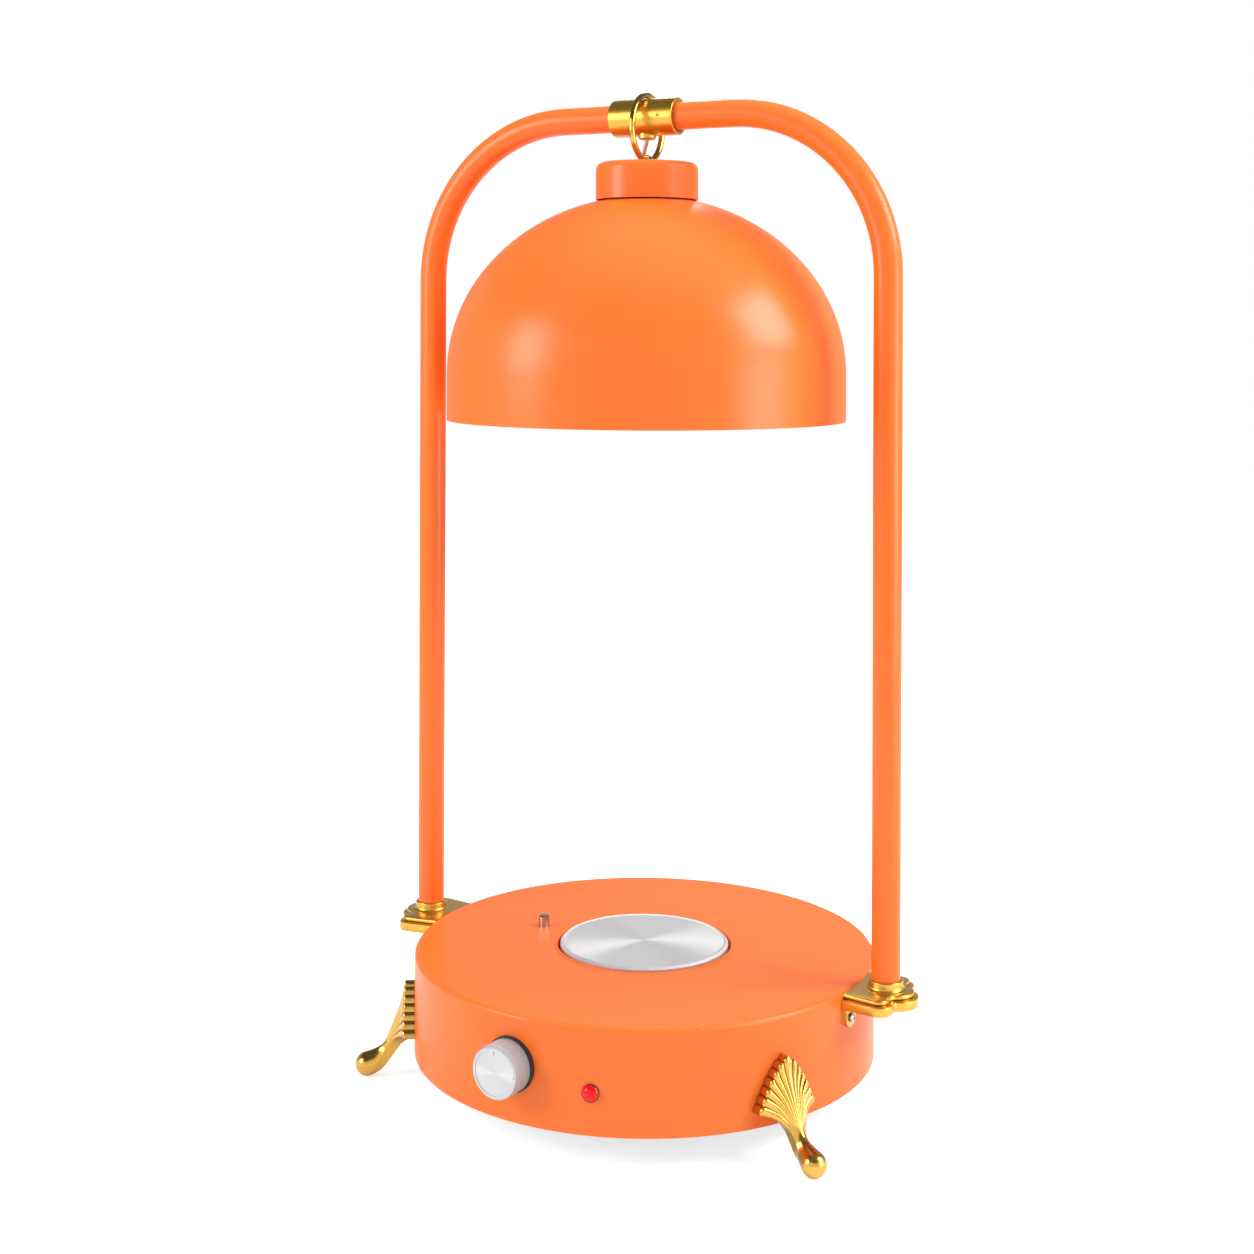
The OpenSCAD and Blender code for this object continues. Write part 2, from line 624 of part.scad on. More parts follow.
module bracket() {
    n = len(outline(0));
    m = len(bracket_rows);
    rings = [for (r = bracket_rows) for (p = outline(r[1])) [p[0], p[1], top_z + r[0]]];
    // The end faces fan out from the post's axis, which every bore here shares.
    ends = [for (i = [0, m - 1]) [post_x, 0, top_z + bracket_rows[i][0]]];
    walls = [
        for (i = [0:m - 2]) for (k = [0:n - 1])
            [i * n + k, (i + 1) * n + k, (i + 1) * n + (k + 1) % n, i * n + (k + 1) % n]
    ];
    tris = [for (f = walls) each [[f[0], f[1], f[2]], [f[0], f[2], f[3]]]];
    difference() {
        union() {
            polyhedron(
                points = concat(rings, ends),
                faces = concat(
                    tris,
                    [for (k = [0:n - 1]) [n * m, k, (k + 1) % n]],
                    [for (k = [0:n - 1]) [n * m + 1, (m - 1) * n + (k + 1) % n, (m - 1) * n + k]]
                )
            );
            translate([post_x, 0, top_z - 2]) rotate_extrude($fn = 96) {
                difference() {
                    square([collar_dia / 2 + flare, flare + 1.1]);
                    translate([collar_dia / 2 + flare + 0.1, flare + 1.1]) circle(r = flare - 0.1);
                }
                square([collar_dia / 2, collar_h - collar_lip]);
                square([collar_dia / 2 - collar_lip, collar_h]);
                translate([collar_dia / 2 - collar_lip, collar_h - collar_lip]) circle(r = collar_lip);
            }
            for (y = [-tab_screw_y, tab_screw_y]) {
                intersection() {
                    translate([0, 0, top_z - 30]) pipe(base_r + seat_gap + tab_thick, base_r - 3, 24);
                    union() {
                        translate([base_r - drill_in, y - tab_half, top_z - tab_screw_drop])
                            cube([30, 2 * tab_half, 12]);
                        translate([base_r - drill_in, y, top_z - tab_screw_drop]) rotate([0, 90, 0])
                            cylinder(r = tab_half, h = 30);
                    }
                }
            }
        }
        translate([0, 0, top_z - 40]) cylinder(r = base_r + seat_gap, h = 60, $fn = 180);
        translate([post_x, 0, tube_foot]) cylinder(r = tube_r + bolt_gap, h = 20);
        translate([post_x, 0, top_z - 9.8]) cylinder(r = 8, h = 10);
        translate([base_r - drill_in, 0, top_z - wire_drop]) rotate([0, 90, 0])
            cylinder(r = 3.2, h = post_out + drill_in);
        translate([post_x, 0, top_z + 2.2]) rotate([-90, 0, 0]) cylinder(r = 2 + bolt_gap, h = 25);
        for (y = [-tab_screw_y, tab_screw_y]) {
            translate([base_r - drill_in, y, top_z - tab_screw_drop]) rotate([0, 90, 0])
                cylinder(r = 2.05, h = 30);
        }
    }
}
module bracket_right() {
    color(gold) bracket();
}
module bracket_left() {
    color(gold) mirror([1, 0, 0]) bracket();
}
module bracket_screws() {
    color(steel) for (s = [90, -90]) {
        for (y = [-tab_screw_y, tab_screw_y]) {
            on_wall(s, top_z - tab_screw_drop)
                translate([0, y, sqrt(pow(base_r + seat_gap + tab_thick, 2) - pow(tab_screw_y - 3.2, 2)) + 0.1])
                    pan_screw(3.1, 2, 1.95, 14);
        }
    }
}
module bracket_nuts() {
    color(steel) for (s = [90, -90]) {
        for (y = [-tab_screw_y, tab_screw_y]) {
            on_wall(s, top_z - tab_screw_drop) translate([0, y, inner_r - 6.2]) hex_nut(7, 3.2, 2);
        }
    }
}
module post_grub_screws() {
    color(steel) for (s = [-1, 1]) {
        translate([s * post_x, tube_r + 0.05, top_z + 2.2]) rotate([-90, 0, 0]) difference() {
            cylinder(r = 2, h = 4.6);
            translate([0, 0, 3]) cylinder(r = 1.15, h = 3, $fn = 6);
        }
    }
}
module wire_grommets() {
    color(black) for (s = [90, -90]) {
        on_wall(s, top_z - wire_drop) {
            translate([0, 0, inner_r - 1.6]) pipe(4.45, 3, 2.6);
            translate([0, 0, inner_r - 1.8]) pipe(wire_drop - base_wall - 0.7, 3, 1.5);
        }
    }
}
// Shell foot: thirteen ribs fan up from the stem to a scalloped edge, a plain web runs behind the stem and
// the stem ends in a ball toe with a lower heel behind it. Stations run from inside the toe (negative) to
// the scalloped edge (1). In the tables, x is out from the drum's wall and z is above the table.
ribs = 13;
toe_flat = 0.25;
toe_r = toe_dia / 2;
heel_r = 6.6;
heel_back = 4.5;
rib_steps = 5;
foot_cols = ribs * rib_steps;
scallop = 0.055;
foot_root = 7.5;
stations = [-0.3, -0.15, 0, 0.06, 0.12, 0.2, 0.3, 0.42, 0.55, 0.68, 0.8, 0.9, 0.96, 1];
mid_x = [
    [-0.3, 34.5], [-0.15, 33.1], [0, 28.5], [0.06, 25.3], [0.12, 22.9], [0.2, 20.9], [0.3, 18.8],
    [0.42, 16.1], [0.55, 13], [0.68, 10.4], [0.8, 8.6], [0.9, 7.5], [0.96, 7], [1, 6.2],
];
mid_z = [
    [-0.3, 13.5], [-0.15, 16.9], [0, 19.6], [0.06, 21.5], [0.12, 23.8], [0.2, 27.2], [0.3, 31.8],
    [0.42, 38.2], [0.55, 45.4], [0.68, 51.9], [0.8, 57.8], [0.9, 62.8], [0.96, 66.2], [1, 68.4],
];
side_x = [
    [-0.3, 32.5], [-0.15, 30.1], [0, 26.1], [0.06, 23.7], [0.12, 21.7], [0.2, 19.9], [0.3, 18],
    [0.42, 15.2], [0.55, 12.7], [0.68, 10.3], [0.8, 8.6], [0.9, 7.5], [0.96, 6.9], [1, 6],
];
side_y = [
    [-0.3, 5], [-0.15, 6.4], [0, 6], [0.06, 5.3], [0.12, 5], [0.2, 5.4], [0.3, 6.6],
    [0.42, 8.8], [0.55, 11.6], [0.68, 14.8], [0.8, 18], [0.9, 20.6], [0.96, 22], [1, 22.8],
];
side_z = [
    [-0.3, 10], [-0.15, 11.5], [0, 14.6], [0.06, 17.2], [0.12, 20], [0.2, 23], [0.3, 25.8],
    [0.42, 28.6], [0.55, 30.8], [0.68, 32.4], [0.8, 33.5], [0.9, 34.2], [0.96, 34.5], [1, 34.6],
];
web_x = [
    [-0.3, 29.5], [-0.15, 24.9], [0, 21.1], [0.06, 18.7], [0.12, 16.1], [0.2, 13.5], [0.3, 10.7],
    [0.42, 7.9], [0.55, 4.1], [0.68, 0], [0.8, -5], [0.9, -7], [0.96, -7.3], [1, -7.5],
];
web_y = [
    [-0.3, 3], [-0.15, 3.4], [0, 4.4], [0.06, 4.6], [0.12, 4.8], [0.2, 5.1], [0.3, 5.8],
    [0.42, 7.6], [0.55, 10.4], [0.68, 14], [0.8, 17.6], [0.9, 20.4], [0.96, 21.8], [1, 22.8],
];
web_z = [
    [-0.3, 2.4], [-0.15, 3.6], [0, 8.2], [0.06, 11.6], [0.12, 15.4], [0.2, 19.2], [0.3, 23.2],
    [0.42, 26.6], [0.55, 29.6], [0.68, 31.6], [0.8, 33], [0.9, 33.9], [0.96, 34.3], [1, 34.6],
];
rib_height = [
    [-0.3, 0], [-0.15, 0], [0, 0.2], [0.06, 0.4], [0.12, 0.7], [0.2, 1], [0.3, 1.2], [0.42, 1.45],
    [0.55, 1.7], [0.68, 1.9], [0.8, 2.1], [0.9, 2.3], [0.96, 2.2], [1, 1.3],
];
function rib_bump(j) = let(u = (j % rib_steps) / rib_steps * 2 - 1) 1 - u * u;
function foot_point(t, j) =
    let(
        c = 2 * j / foot_cols - 1,
        b = rib_bump(j),
        s = t > 0 ? t * (1 - scallop * (1 - b) * t * t) : t,
        w = max(0, min(1, t)),
        k = sign(c) * pow(abs(c), 1 - 0.28 * w),
        e = pow(abs(c), 2 - 0.85 * w)
    )
    [
        base_r + lookup(s, mid_x) + (lookup(s, side_x) - lookup(s, mid_x)) * c * c
            + lookup(s, rib_height) * b,
        lookup(s, side_y) * k,
        lookup(s, mid_z) + (lookup(s, side_z) - lookup(s, mid_z)) * e
    ];
function web_point(t, side) = [base_r + lookup(t, web_x), side * lookup(t, web_y), lookup(t, web_z)];
module shell_foot() {
    n = foot_cols + 1;
    m = len(stations);
    front = [for (t = stations) for (j = [0:foot_cols]) foot_point(t, j)];
    webs = [for (t = stations) each [web_point(t, -1), web_point(t, 1)]];
    rim = [for (j = [0:foot_cols]) let(p = foot_point(1, j)) [base_r - foot_root, p[1], p[2]]];
    hub = [[base_r - foot_root, 0, lookup(0.4, mid_z)]];
    tip = [[base_r + toe_out - heel_back, 0, heel_r]];
    w0 = n * m;
    r0 = w0 + 2 * m;
    h0 = r0 + n;
    t0 = h0 + 1;
    last = (m - 1) * n;
    // The last web points are the rim's ends, so the faces use those.
    function wl(i) = i == m - 1 ? r0 : w0 + 2 * i;
    function wr(i) = i == m - 1 ? r0 + n - 1 : w0 + 2 * i + 1;
    quads = concat(
        [
            for (i = [0:m - 2]) for (j = [0:n - 2])
                [i * n + j, i * n + j + 1, (i + 1) * n + j + 1, (i + 1) * n + j]
        ],
        [for (j = [0:n - 2]) [last + j, last + j + 1, r0 + j + 1, r0 + j]],
        [for (i = [0:m - 2]) [wl(i), i * n, (i + 1) * n, wl(i + 1)]],
        [for (i = [0:m - 2]) [i * n + n - 1, wr(i), wr(i + 1), (i + 1) * n + n - 1]],
        [for (i = [0:m - 2]) [wr(i), wl(i), wl(i + 1), wr(i + 1)]]
    );
    tris = concat(
        [for (f = quads) each [[f[0], f[2], f[1]], [f[0], f[3], f[2]]]],
        [for (j = [0:n - 2]) [h0, r0 + j, r0 + j + 1]],
        [[h0, r0 + n - 1, r0]],
        [for (j = [0:n - 2]) [t0, j, j + 1]],
        [[t0, n - 1, wr(0)], [t0, wr(0), wl(0)], [t0, wl(0), 0]]
    );
    used = concat(front, webs, rim, hub, tip);
    difference() {
        union() {
            polyhedron(points = used, faces = [for (f = tris) [f[0], f[2], f[1]]]);
            translate([base_r + toe_out, 0, toe_r - toe_flat]) sphere(r = toe_r);
            translate([base_r + toe_out - heel_back, 0, heel_r - toe_flat]) sphere(r = heel_r);
        }
        cylinder(r = base_r + seat_gap, h = top_z, $fn = 180);
        translate([0, 0, -2]) cylinder(r = base_r + toe_out + toe_dia, h = 2);
        for (y = [-foot_screw_y, foot_screw_y]) {
            translate([base_r - foot_root, y, foot_screw_z]) rotate([0, 90, 0])
                cylinder(r = 1.95, h = foot_root + 8.5);
        }
    }
}
module foot_at(a) {
    color(gold) rotate([0, 0, a - 90]) shell_foot();
}
module foot_front_right() {
    foot_at(60);
}
module foot_front_left() {
    foot_at(-60);
}
module foot_rear() {
    foot_at(180);
}
module foot_screws() {
    color(steel) for (a = foot_angles) {
        for (y = [-foot_screw_y, foot_screw_y]) {
            on_wall(a, foot_screw_z) translate([0, y, inner_r - 0.4]) rotate([180, 0, 0])
                pan_screw(3.6, 2.4, 1.9, 8);
        }
    }
}

// Hanger: a sleeve on the arch, its set screw, the wire outlet under it, the ring and the short lead.
sleeve_r = sleeve_dia / 2;
sleeve_z = arch_z;
set_x = 15.6;
module hanger_sleeve() {
    color(gold) translate([0, 0, sleeve_z]) rotate([0, 90, 0]) difference() {
        translate([0, 0, -sleeve_len / 2]) rotate_extrude($fn = 96) difference() {
            union() {
                translate([0, 0.8]) square([sleeve_r, sleeve_len - 1.6]);
                square([sleeve_r - 0.8, sleeve_len]);
                translate([sleeve_r - 0.8, 0.8]) circle(r = 0.8);
                translate([sleeve_r - 0.8, sleeve_len - 0.8]) circle(r = 0.8);
            }
            translate([0, -1]) square([tube_r + bolt_gap, sleeve_len + 2]);
            translate([0, -1]) square([tube_r + 1.4, 3]);
            translate([0, sleeve_len - 2]) square([tube_r + 1.4, 3]);
        }
        rotate([0, 90, 0]) cylinder(r = 4.1, h = 20);
        translate([0, 0, set_x]) rotate([90, 0, 0]) cylinder(r = 1.5 + bolt_gap, h = 20);
    }
}
module sleeve_set_screw() {
    color(gold) translate([set_x, 0, sleeve_z]) rotate([90, 0, 0]) difference() {
        translate([0, 0, tube_r + 0.02]) cylinder(r = 1.5, h = 3);
        translate([0, 0, tube_r + 1.6]) cylinder(r = 0.85, h = 3, $fn = 6);
    }
}
outlet_low = arch_z - sleeve_r - 2.5;
module lead_outlet() {
    color(gold) difference() {
        union() {
            difference() {
                translate([0, 0, outlet_low + 1]) cylinder(r = 6.5, h = 5);
                translate([-20, 0, sleeve_z]) rotate([0, 90, 0]) cylinder(r = sleeve_r + 0.03, h = 40);
            }
            translate([0, 0, outlet_low]) cylinder(r1 = 5.5, r2 = 6.5, h = 1);
            translate([0, 0, outlet_low + 0.5]) cylinder(r = 4, h = arch_z - tube_r + 0.5 - outlet_low);
        }
        translate([0, 0, outlet_low - 1]) cylinder(r = 2.3, h = 20);
    }
}
module hanger_ring() {
    color(gold) translate([0, 0, ring_z]) rotate([0, 90, 0]) rotate_extrude($fn = 128)
        translate([ring_mid, 0]) circle(r = wire_half);
}
grommet_x = -8.6;
grommet_y = 11.2;
module lead() {
    color(cream) swept(
        [
            [0, 0, arch_z - 1], [0, 0, outlet_low + 2], [-0.6, 0.6, outlet_low - 1.5],
            [-4, 4.5, outlet_low - 6], [-7.4, 9.2, outlet_low - 10.5],
            [grommet_x, grommet_y, cap_z + 0.5], [grommet_x, grommet_y, cap_z - 7],
            [grommet_x + 1, grommet_y - 2, cap_z - 14]
        ],
        lead_dia / 2,
        8,
        [0.3, 1, 0.02]
    );
}

// Eye bolt, its nuts and the cap.
dish_r = 7;
module cap_eye() {
    color(gold) {
        translate([0, 0, eye_z]) rotate([90, 0, 0]) rotate_extrude($fn = 64)
            translate([eye_hole + eye_wire, 0]) circle(r = eye_wire);
        translate([0, 0, dish_floor + 0.03]) cylinder(r = 3.4, h = 1);
        translate([0, 0, dish_floor - 12.5]) cylinder(r = 2, h = 13);
    }
}
module eye_nuts() {
    color(steel) {
        translate([0, 0, dish_floor - shade_wall - 3.3]) hex_nut(7, 3.2, 2.05);
        translate([0, 0, dish_floor - shade_wall - 8.5]) hex_nut(7, 3.2, 2.05);
    }
}
cap_edge = 5.5;
module shade_cap() {
    color(paint) difference() {
        rotate_extrude($fn = 128) {
            difference() {
                union() {
                    translate([0, rim_low]) square([cap_r, cap_z - rim_low - cap_edge]);
                    translate([0, rim_low]) square([cap_r - cap_edge, cap_z - rim_low]);
                    translate([cap_r - cap_edge, cap_z - cap_edge]) circle(r = cap_edge);
                }
                translate([0, rim_low - 1]) square([cap_r - shade_wall, cap_z - rim_low - cap_edge + 1]);
                translate([0, rim_low - 1]) square([cap_r - cap_edge, cap_z - rim_low - shade_wall + 1]);
                translate([cap_r - cap_edge, cap_z - cap_edge]) circle(r = cap_edge - shade_wall);
                translate([0, rim_low]) square([dish_r, 60]);
            }
            translate([dish_r, dish_floor - shade_wall]) square([1.5, cap_z - dish_floor + shade_wall]);
            translate([0, dish_floor - shade_wall]) square([dish_r + 1.5, shade_wall]);
        }
        translate([0, 0, dish_floor - 5]) cylinder(r = 2.05, h = 8);
        translate([grommet_x, grommet_y, cap_z - 4]) cylinder(r = 3.4, h = 8);
    }
}
module lead_grommet() {
    color(black) translate([grommet_x, grommet_y, 0]) {
        translate([0, 0, cap_z + 0.02]) pipe(4.4, 2.3, 0.7);
        translate([0, 0, cap_z - 2.6]) pipe(3.35, 2.3, 2.8);
    }
}

// Dome: straight skirt, elliptical dome and a flat seat under the cap, clamped between two gallery rings.
dome_steps = 30;
function dome_curve(a, b, r0) = let(last = acos(r0 / a))
    [for (i = [0:dome_steps]) [a * cos(last * i / dome_steps), skirt_z + b * sin(last * i / dome_steps)]];
module shade_dome() {
    outer = dome_curve(shade_r, dome_rise, seat_r);
    inner = dome_curve(shade_r - shade_wall, dome_rise - shade_wall, seat_r);
    top_out = outer[dome_steps][1];
    top_in = inner[dome_steps][1];
    color(paint) rotate_extrude($fn = 180) polygon(concat(
        [[shade_r, top_z + rim_h]], outer, [[20.6, top_out], [20.6, top_in]],
        [for (i = [dome_steps:-1:0]) inner[i]], [[shade_r - shade_wall, top_z + rim_h]]
    ));
}
module gallery_rings() {
    color(steel) {
        translate([0, 0, seat_top + 0.02]) pipe(27, 20.35, 3);
        translate([0, 0, seat_low - 3.02]) pipe(27, 20.35, 3);
    }
}

// Strap, lampholder and heat bulb under the cap.
strap_top = dish_floor - shade_wall - 3.35;
holder_top = strap_top - 8.6;
module holder_strap() {
    color(steel) difference() {
        union() {
            translate([-9, -7, strap_top - 1.5]) cube([18, 14, 1.5]);
            for (s = [-1, 1]) {
                translate([s * 9 - 0.75, -7, holder_top]) cube([1.5, 14, strap_top - holder_top]);
                translate([s * 13.1 - 4.1, -7, holder_top]) cube([8.2, 14, 1.5]);
            }
        }
        translate([0, 0, strap_top - 3]) cylinder(r = 2.1, h = 6);
        for (s = [-1, 1]) {
            translate([s * 14, 0, holder_top - 1]) cylinder(r = 1.6, h = 6);
        }
    }
}
module strap_screws() {
    color(steel) for (s = [-1, 1]) {
        translate([s * 14, 0, holder_top + 1.52]) pan_screw(2.6, 1.8, 1.5, 8);
    }
}
holder_low = holder_top - 34;
socket_r = 13.9;
module lampholder_body() {
    color(white) difference() {
        translate([0, 0, holder_low]) cylinder(r = 18, h = holder_top - 0.02 - holder_low);
        translate([0, 0, holder_low - 1]) cylinder(r = socket_r + 0.05, h = 25);
        translate([-6, -2.6, holder_low + 20]) cube([12, 5.2, 6.5]);
        for (s = [-1, 1]) {
            translate([s * 14, 0, holder_top - 7]) cylinder(r = 1.55, h = 10);
            translate([0, s * 9, holder_low + 20]) cylinder(r = 1.8, h = 30);
        }
    }
}
module lampholder_sleeve() {
    color(steel) translate([0, 0, holder_low]) pipe(20.3, 18.05, seat_top + 4 - holder_low);
}
module lampholder_shell() {
    color(gold) translate([0, 0, holder_low + 0.5]) pipe(socket_r, socket_r - 0.6, 21);
}
module lampholder_contact() {
    color(gold) {
        translate([-4, -2, holder_low + 24.2]) cube([8, 4, 0.6]);
        translate([-2, -2, holder_low + 22.6]) cube([4, 4, 1.7]);
    }
}
bulb_top = holder_low + 22.2;
glass_top = bulb_top - 25;
module bulb_envelope() {
    color(white) rotate_extrude($fn = 96) {
        z = glass_top;
        polygon([
            [0, z - 112], [16, z - 111.2], [31, z - 108.6], [44, z - 104.2], [53, z - 98.8], [58.6, z - 92.6],
            [61, z - 86], [60.4, z - 79], [56.6, z - 70], [49.4, z - 58], [40, z - 44.6], [31, z - 33],
            [23.4, z - 23], [18, z - 14.4], [15, z - 7], [13.6, z - 0.02], [12.4, z - 0.02], [13.6, z - 7.2],
            [16.8, z - 14.8], [22.2, z - 23.6], [30, z - 33.8], [39, z - 45.4], [48.4, z - 58.8], [55.4, z - 70.6],
            [59.1, z - 79.2], [59.7, z - 86], [57.4, z - 92], [52, z - 97.8], [43.4, z - 103], [30.6, z - 107.4],
            [15.8, z - 110], [0, z - 110.8],
        ]);
    }
}
module bulb_cap() {
    color(steel) {
        rotate_extrude() {
            difference() {
                union() {
                    translate([0, glass_top]) square([12.6, 22.6]);
                    for (i = [0:4]) {
                        translate([12.1, glass_top + 4 + i * 3.6]) circle(r = 1.05, $fn = 32);
                    }
                }
                translate([0, glass_top - 1]) square([11.9, 22.6]);
            }
        }
        translate([0, 0, glass_top + 22.5]) cylinder(r = 4.6, h = 2.5);
    }
}
module bulb_filament() {
    color(steel) {
        translate([0, 0, glass_top - 60]) rotate_extrude() translate([12, 0]) circle(r = 0.8, $fn = 16);
        for (s = [-1, 1]) {
            translate([s * 12, 0, glass_top - 60]) rotate([0, s * -6, 0]) cylinder(r = 0.6, h = 62);
        }
        translate([0, 0, glass_top - 12]) cylinder(r = 9, h = 12);
    }
}

base_drum();
base_cover();
cover_screws();
warming_plate();
plate_clip();
plate_seal();
heater_disc();
insulation_disc();
heater_clamp_plate();
heater_clamp_nut();
control_knob();
knob_grub_screw();
control_shaft();
control_body();
control_nut();
knob_ring();
indicator_lens();
indicator_body();
indicator_nut();
button_plunger();
button_housing();
button_spring();
button_switch();
terminal_block();
base_wiring();
cord_gland_body();
cord_gland_nut();
cord_gland_locknut();
arch_tube();
riser_cable();
bracket_left();
bracket_right();
bracket_screws();
bracket_nuts();
post_grub_screws();
wire_grommets();
foot_front_left();
foot_front_right();
foot_rear();
foot_screws();
hanger_sleeve();
sleeve_set_screw();
lead_outlet();
hanger_ring();
lead();
cap_eye();
eye_nuts();
shade_cap();
lead_grommet();
shade_dome();
gallery_rings();
holder_strap();
strap_screws();
lampholder_body();
lampholder_sleeve();
lampholder_shell();
lampholder_contact();
bulb_envelope();
bulb_cap();
bulb_filament();
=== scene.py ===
"""Finishes, stage, lights and camera for the food heat lamp, laid out as an add-on with one operator a group."""

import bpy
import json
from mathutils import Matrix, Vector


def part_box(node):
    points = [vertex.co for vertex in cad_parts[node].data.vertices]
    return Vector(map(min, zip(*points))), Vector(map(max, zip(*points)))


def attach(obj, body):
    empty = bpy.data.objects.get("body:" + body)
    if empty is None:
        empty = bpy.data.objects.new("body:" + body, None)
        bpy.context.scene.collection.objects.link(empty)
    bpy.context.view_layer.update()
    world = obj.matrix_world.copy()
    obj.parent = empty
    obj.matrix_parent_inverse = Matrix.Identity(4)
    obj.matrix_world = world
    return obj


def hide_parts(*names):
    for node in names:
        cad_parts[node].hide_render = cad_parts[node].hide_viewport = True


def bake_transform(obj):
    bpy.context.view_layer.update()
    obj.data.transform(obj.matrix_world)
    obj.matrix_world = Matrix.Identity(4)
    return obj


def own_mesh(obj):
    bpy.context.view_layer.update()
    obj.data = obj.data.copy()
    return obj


bl_info = {
    "name": "Food heat lamp",
    "version": (1, 0, 0),
    "blender": (4, 5, 0),
    "location": "3D View > Sidebar > Heat lamp",
    "description": "Gives the heat lamp's pieces their finishes and sets the stage, the lights and the camera",
    "category": "Object",
}

import json
import math

import bmesh
import bpy
from bpy.props import FloatProperty, FloatVectorProperty, PointerProperty
from mathutils import Matrix, Vector

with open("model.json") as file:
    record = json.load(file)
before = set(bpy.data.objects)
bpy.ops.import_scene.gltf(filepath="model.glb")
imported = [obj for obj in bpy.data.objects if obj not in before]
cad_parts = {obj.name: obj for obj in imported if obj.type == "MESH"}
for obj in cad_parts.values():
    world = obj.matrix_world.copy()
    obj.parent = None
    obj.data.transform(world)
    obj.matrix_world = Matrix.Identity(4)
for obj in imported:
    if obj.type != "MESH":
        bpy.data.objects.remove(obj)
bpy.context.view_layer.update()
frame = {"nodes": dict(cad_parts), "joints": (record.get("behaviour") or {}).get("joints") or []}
nodes = frame["nodes"]

MM = 0.001
TABLE_TO_DRUM_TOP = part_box("base_drum")[1][2]

# Finishes that the sidebar doesn't offer, and the colours of the shade painted into the grooves of the feet and the
# knob.
ZINC = (0.55, 0.56, 0.58)
CHROME = (0.5, 0.5, 0.52)
# Painted shade: darker brass painted into the feet's grooves, on the saddle behind the toe and on the wall round the
# rim.
BRASS_PAINTED_SHADE = (0.4, 0.2, 0.035)
# Painted shade in the knob's knurl grooves, blue-grey against the drum's orange reflected in the side.
KNURL_PAINTED_SHADE = (0.3, 0.42, 0.5)
WHITE = (1.0, 1.0, 1.0, 1.0)

# Radii of the knob's side in metres: the face's edge ends, the flutes' roots and the crests between them.
KNURL_EDGE = 0.01705
KNURL_ROOT = 0.0171
KNURL_CREST = 0.0175


def low(node):
    return Vector(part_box(node)[0])


def high(node):
    return Vector(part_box(node)[1])


def middle(node):
    return (low(node) + high(node)) / 2


def joint_named(name):
    return next(joint for joint in frame["joints"] if joint["name"] == name)


def scaled(color, share):
    """A colour made darker or brighter."""
    return tuple(share * value for value in color)


class HeatLampFinishes(bpy.types.PropertyGroup):
    """Colours and roughnesses of the finishes."""

    paint: FloatVectorProperty(
        name="Paint", description="Colour of the powder paint", subtype="COLOR", size=3,
        min=0, max=1, default=(0.93, 0.175, 0.022),
    )
    paint_roughness: FloatProperty(
        name="Paint roughness", description="Roughness of the satin paint", min=0, max=1, default=0.3,
    )
    brass: FloatVectorProperty(
        name="Brass", description="Colour of the polished brass", subtype="COLOR", size=3,
        min=0, max=1, default=(0.72, 0.415, 0.058),
    )
    aluminium: FloatVectorProperty(
        name="Aluminium", description="Colour of the spun aluminium", subtype="COLOR", size=3,
        min=0, max=1, default=(0.775, 0.8, 0.805),
    )
    lens: FloatVectorProperty(
        name="Lens", description="Colour of the indicator's lens", subtype="COLOR", size=3,
        min=0, max=1, default=(0.85, 0.004, 0.006),
    )


class HeatLampView(bpy.types.PropertyGroup):
    """Where the camera stands, as found from the photograph."""

    azimuth: FloatProperty(
        name="Azimuth", description="Camera's angle round the lamp from the front, towards the right, in degrees",
        default=27.13,
    )
    distance: FloatProperty(
        name="Distance", description="Camera's distance from the drum's axis", subtype="DISTANCE", unit="LENGTH",
        min=0.5, default=1.38225,
    )
    height: FloatProperty(
        name="Height", description="Camera's height above the drum's top", subtype="DISTANCE", unit="LENGTH",
        default=0.454,
    )
    pitch: FloatProperty(name="Pitch", description="Downward tilt in degrees", default=-0.05)
    turn: FloatProperty(name="Turn", description="Turn off the axis in degrees", default=0.593)
    roll: FloatProperty(name="Roll", description="Roll in degrees", default=0.209)
    focal: FloatProperty(
        name="Focal length", description="Focal length over the width of the image", min=0.5, default=1.50003,
    )
    shift: FloatProperty(name="Shift", description="Vertical shift over the width of the image", default=-0.24273)


def socket_of(sockets, name):
    """A socket by its identifier, or else by its name or number."""
    return next((socket for socket in sockets if socket.identifier == name), None) or sockets[name]


class Tree:
    """A node tree that is filled in order, left to right."""

    def __init__(self, tree):
        self.tree = tree
        self.tree.nodes.clear()
        self.count = 0

    def add(self, kind, inputs=None, **settings):
        node = self.tree.nodes.new(kind)
        node.location = (self.count * 180, -(self.count % 3) * 160)
        self.count += 1
        for name, value in settings.items():
            setattr(node, name, value)
        for name, value in (inputs or {}).items():
            socket = socket_of(node.inputs, name)
            if isinstance(value, bpy.types.NodeSocket):
                self.tree.links.new(value, socket)
            else:
                socket.default_value = value
        return node

    def link(self, a, b):
        self.tree.links.new(a, b)


def effect_group(name, inputs, outputs):
    """A shader node group with named sockets: (name, socket type, default) in, (name, socket type) out."""
    group = bpy.data.node_groups.new(name, "ShaderNodeTree")
    for label, kind, value in inputs:
        socket = group.interface.new_socket(name=label, in_out="INPUT", socket_type=kind)
        socket.default_value = value
    for label, kind in outputs:
        group.interface.new_socket(name=label, in_out="OUTPUT", socket_type=kind)
    tree = Tree(group)
    return group, tree, tree.add("NodeGroupInput"), tree.add("NodeGroupOutput")


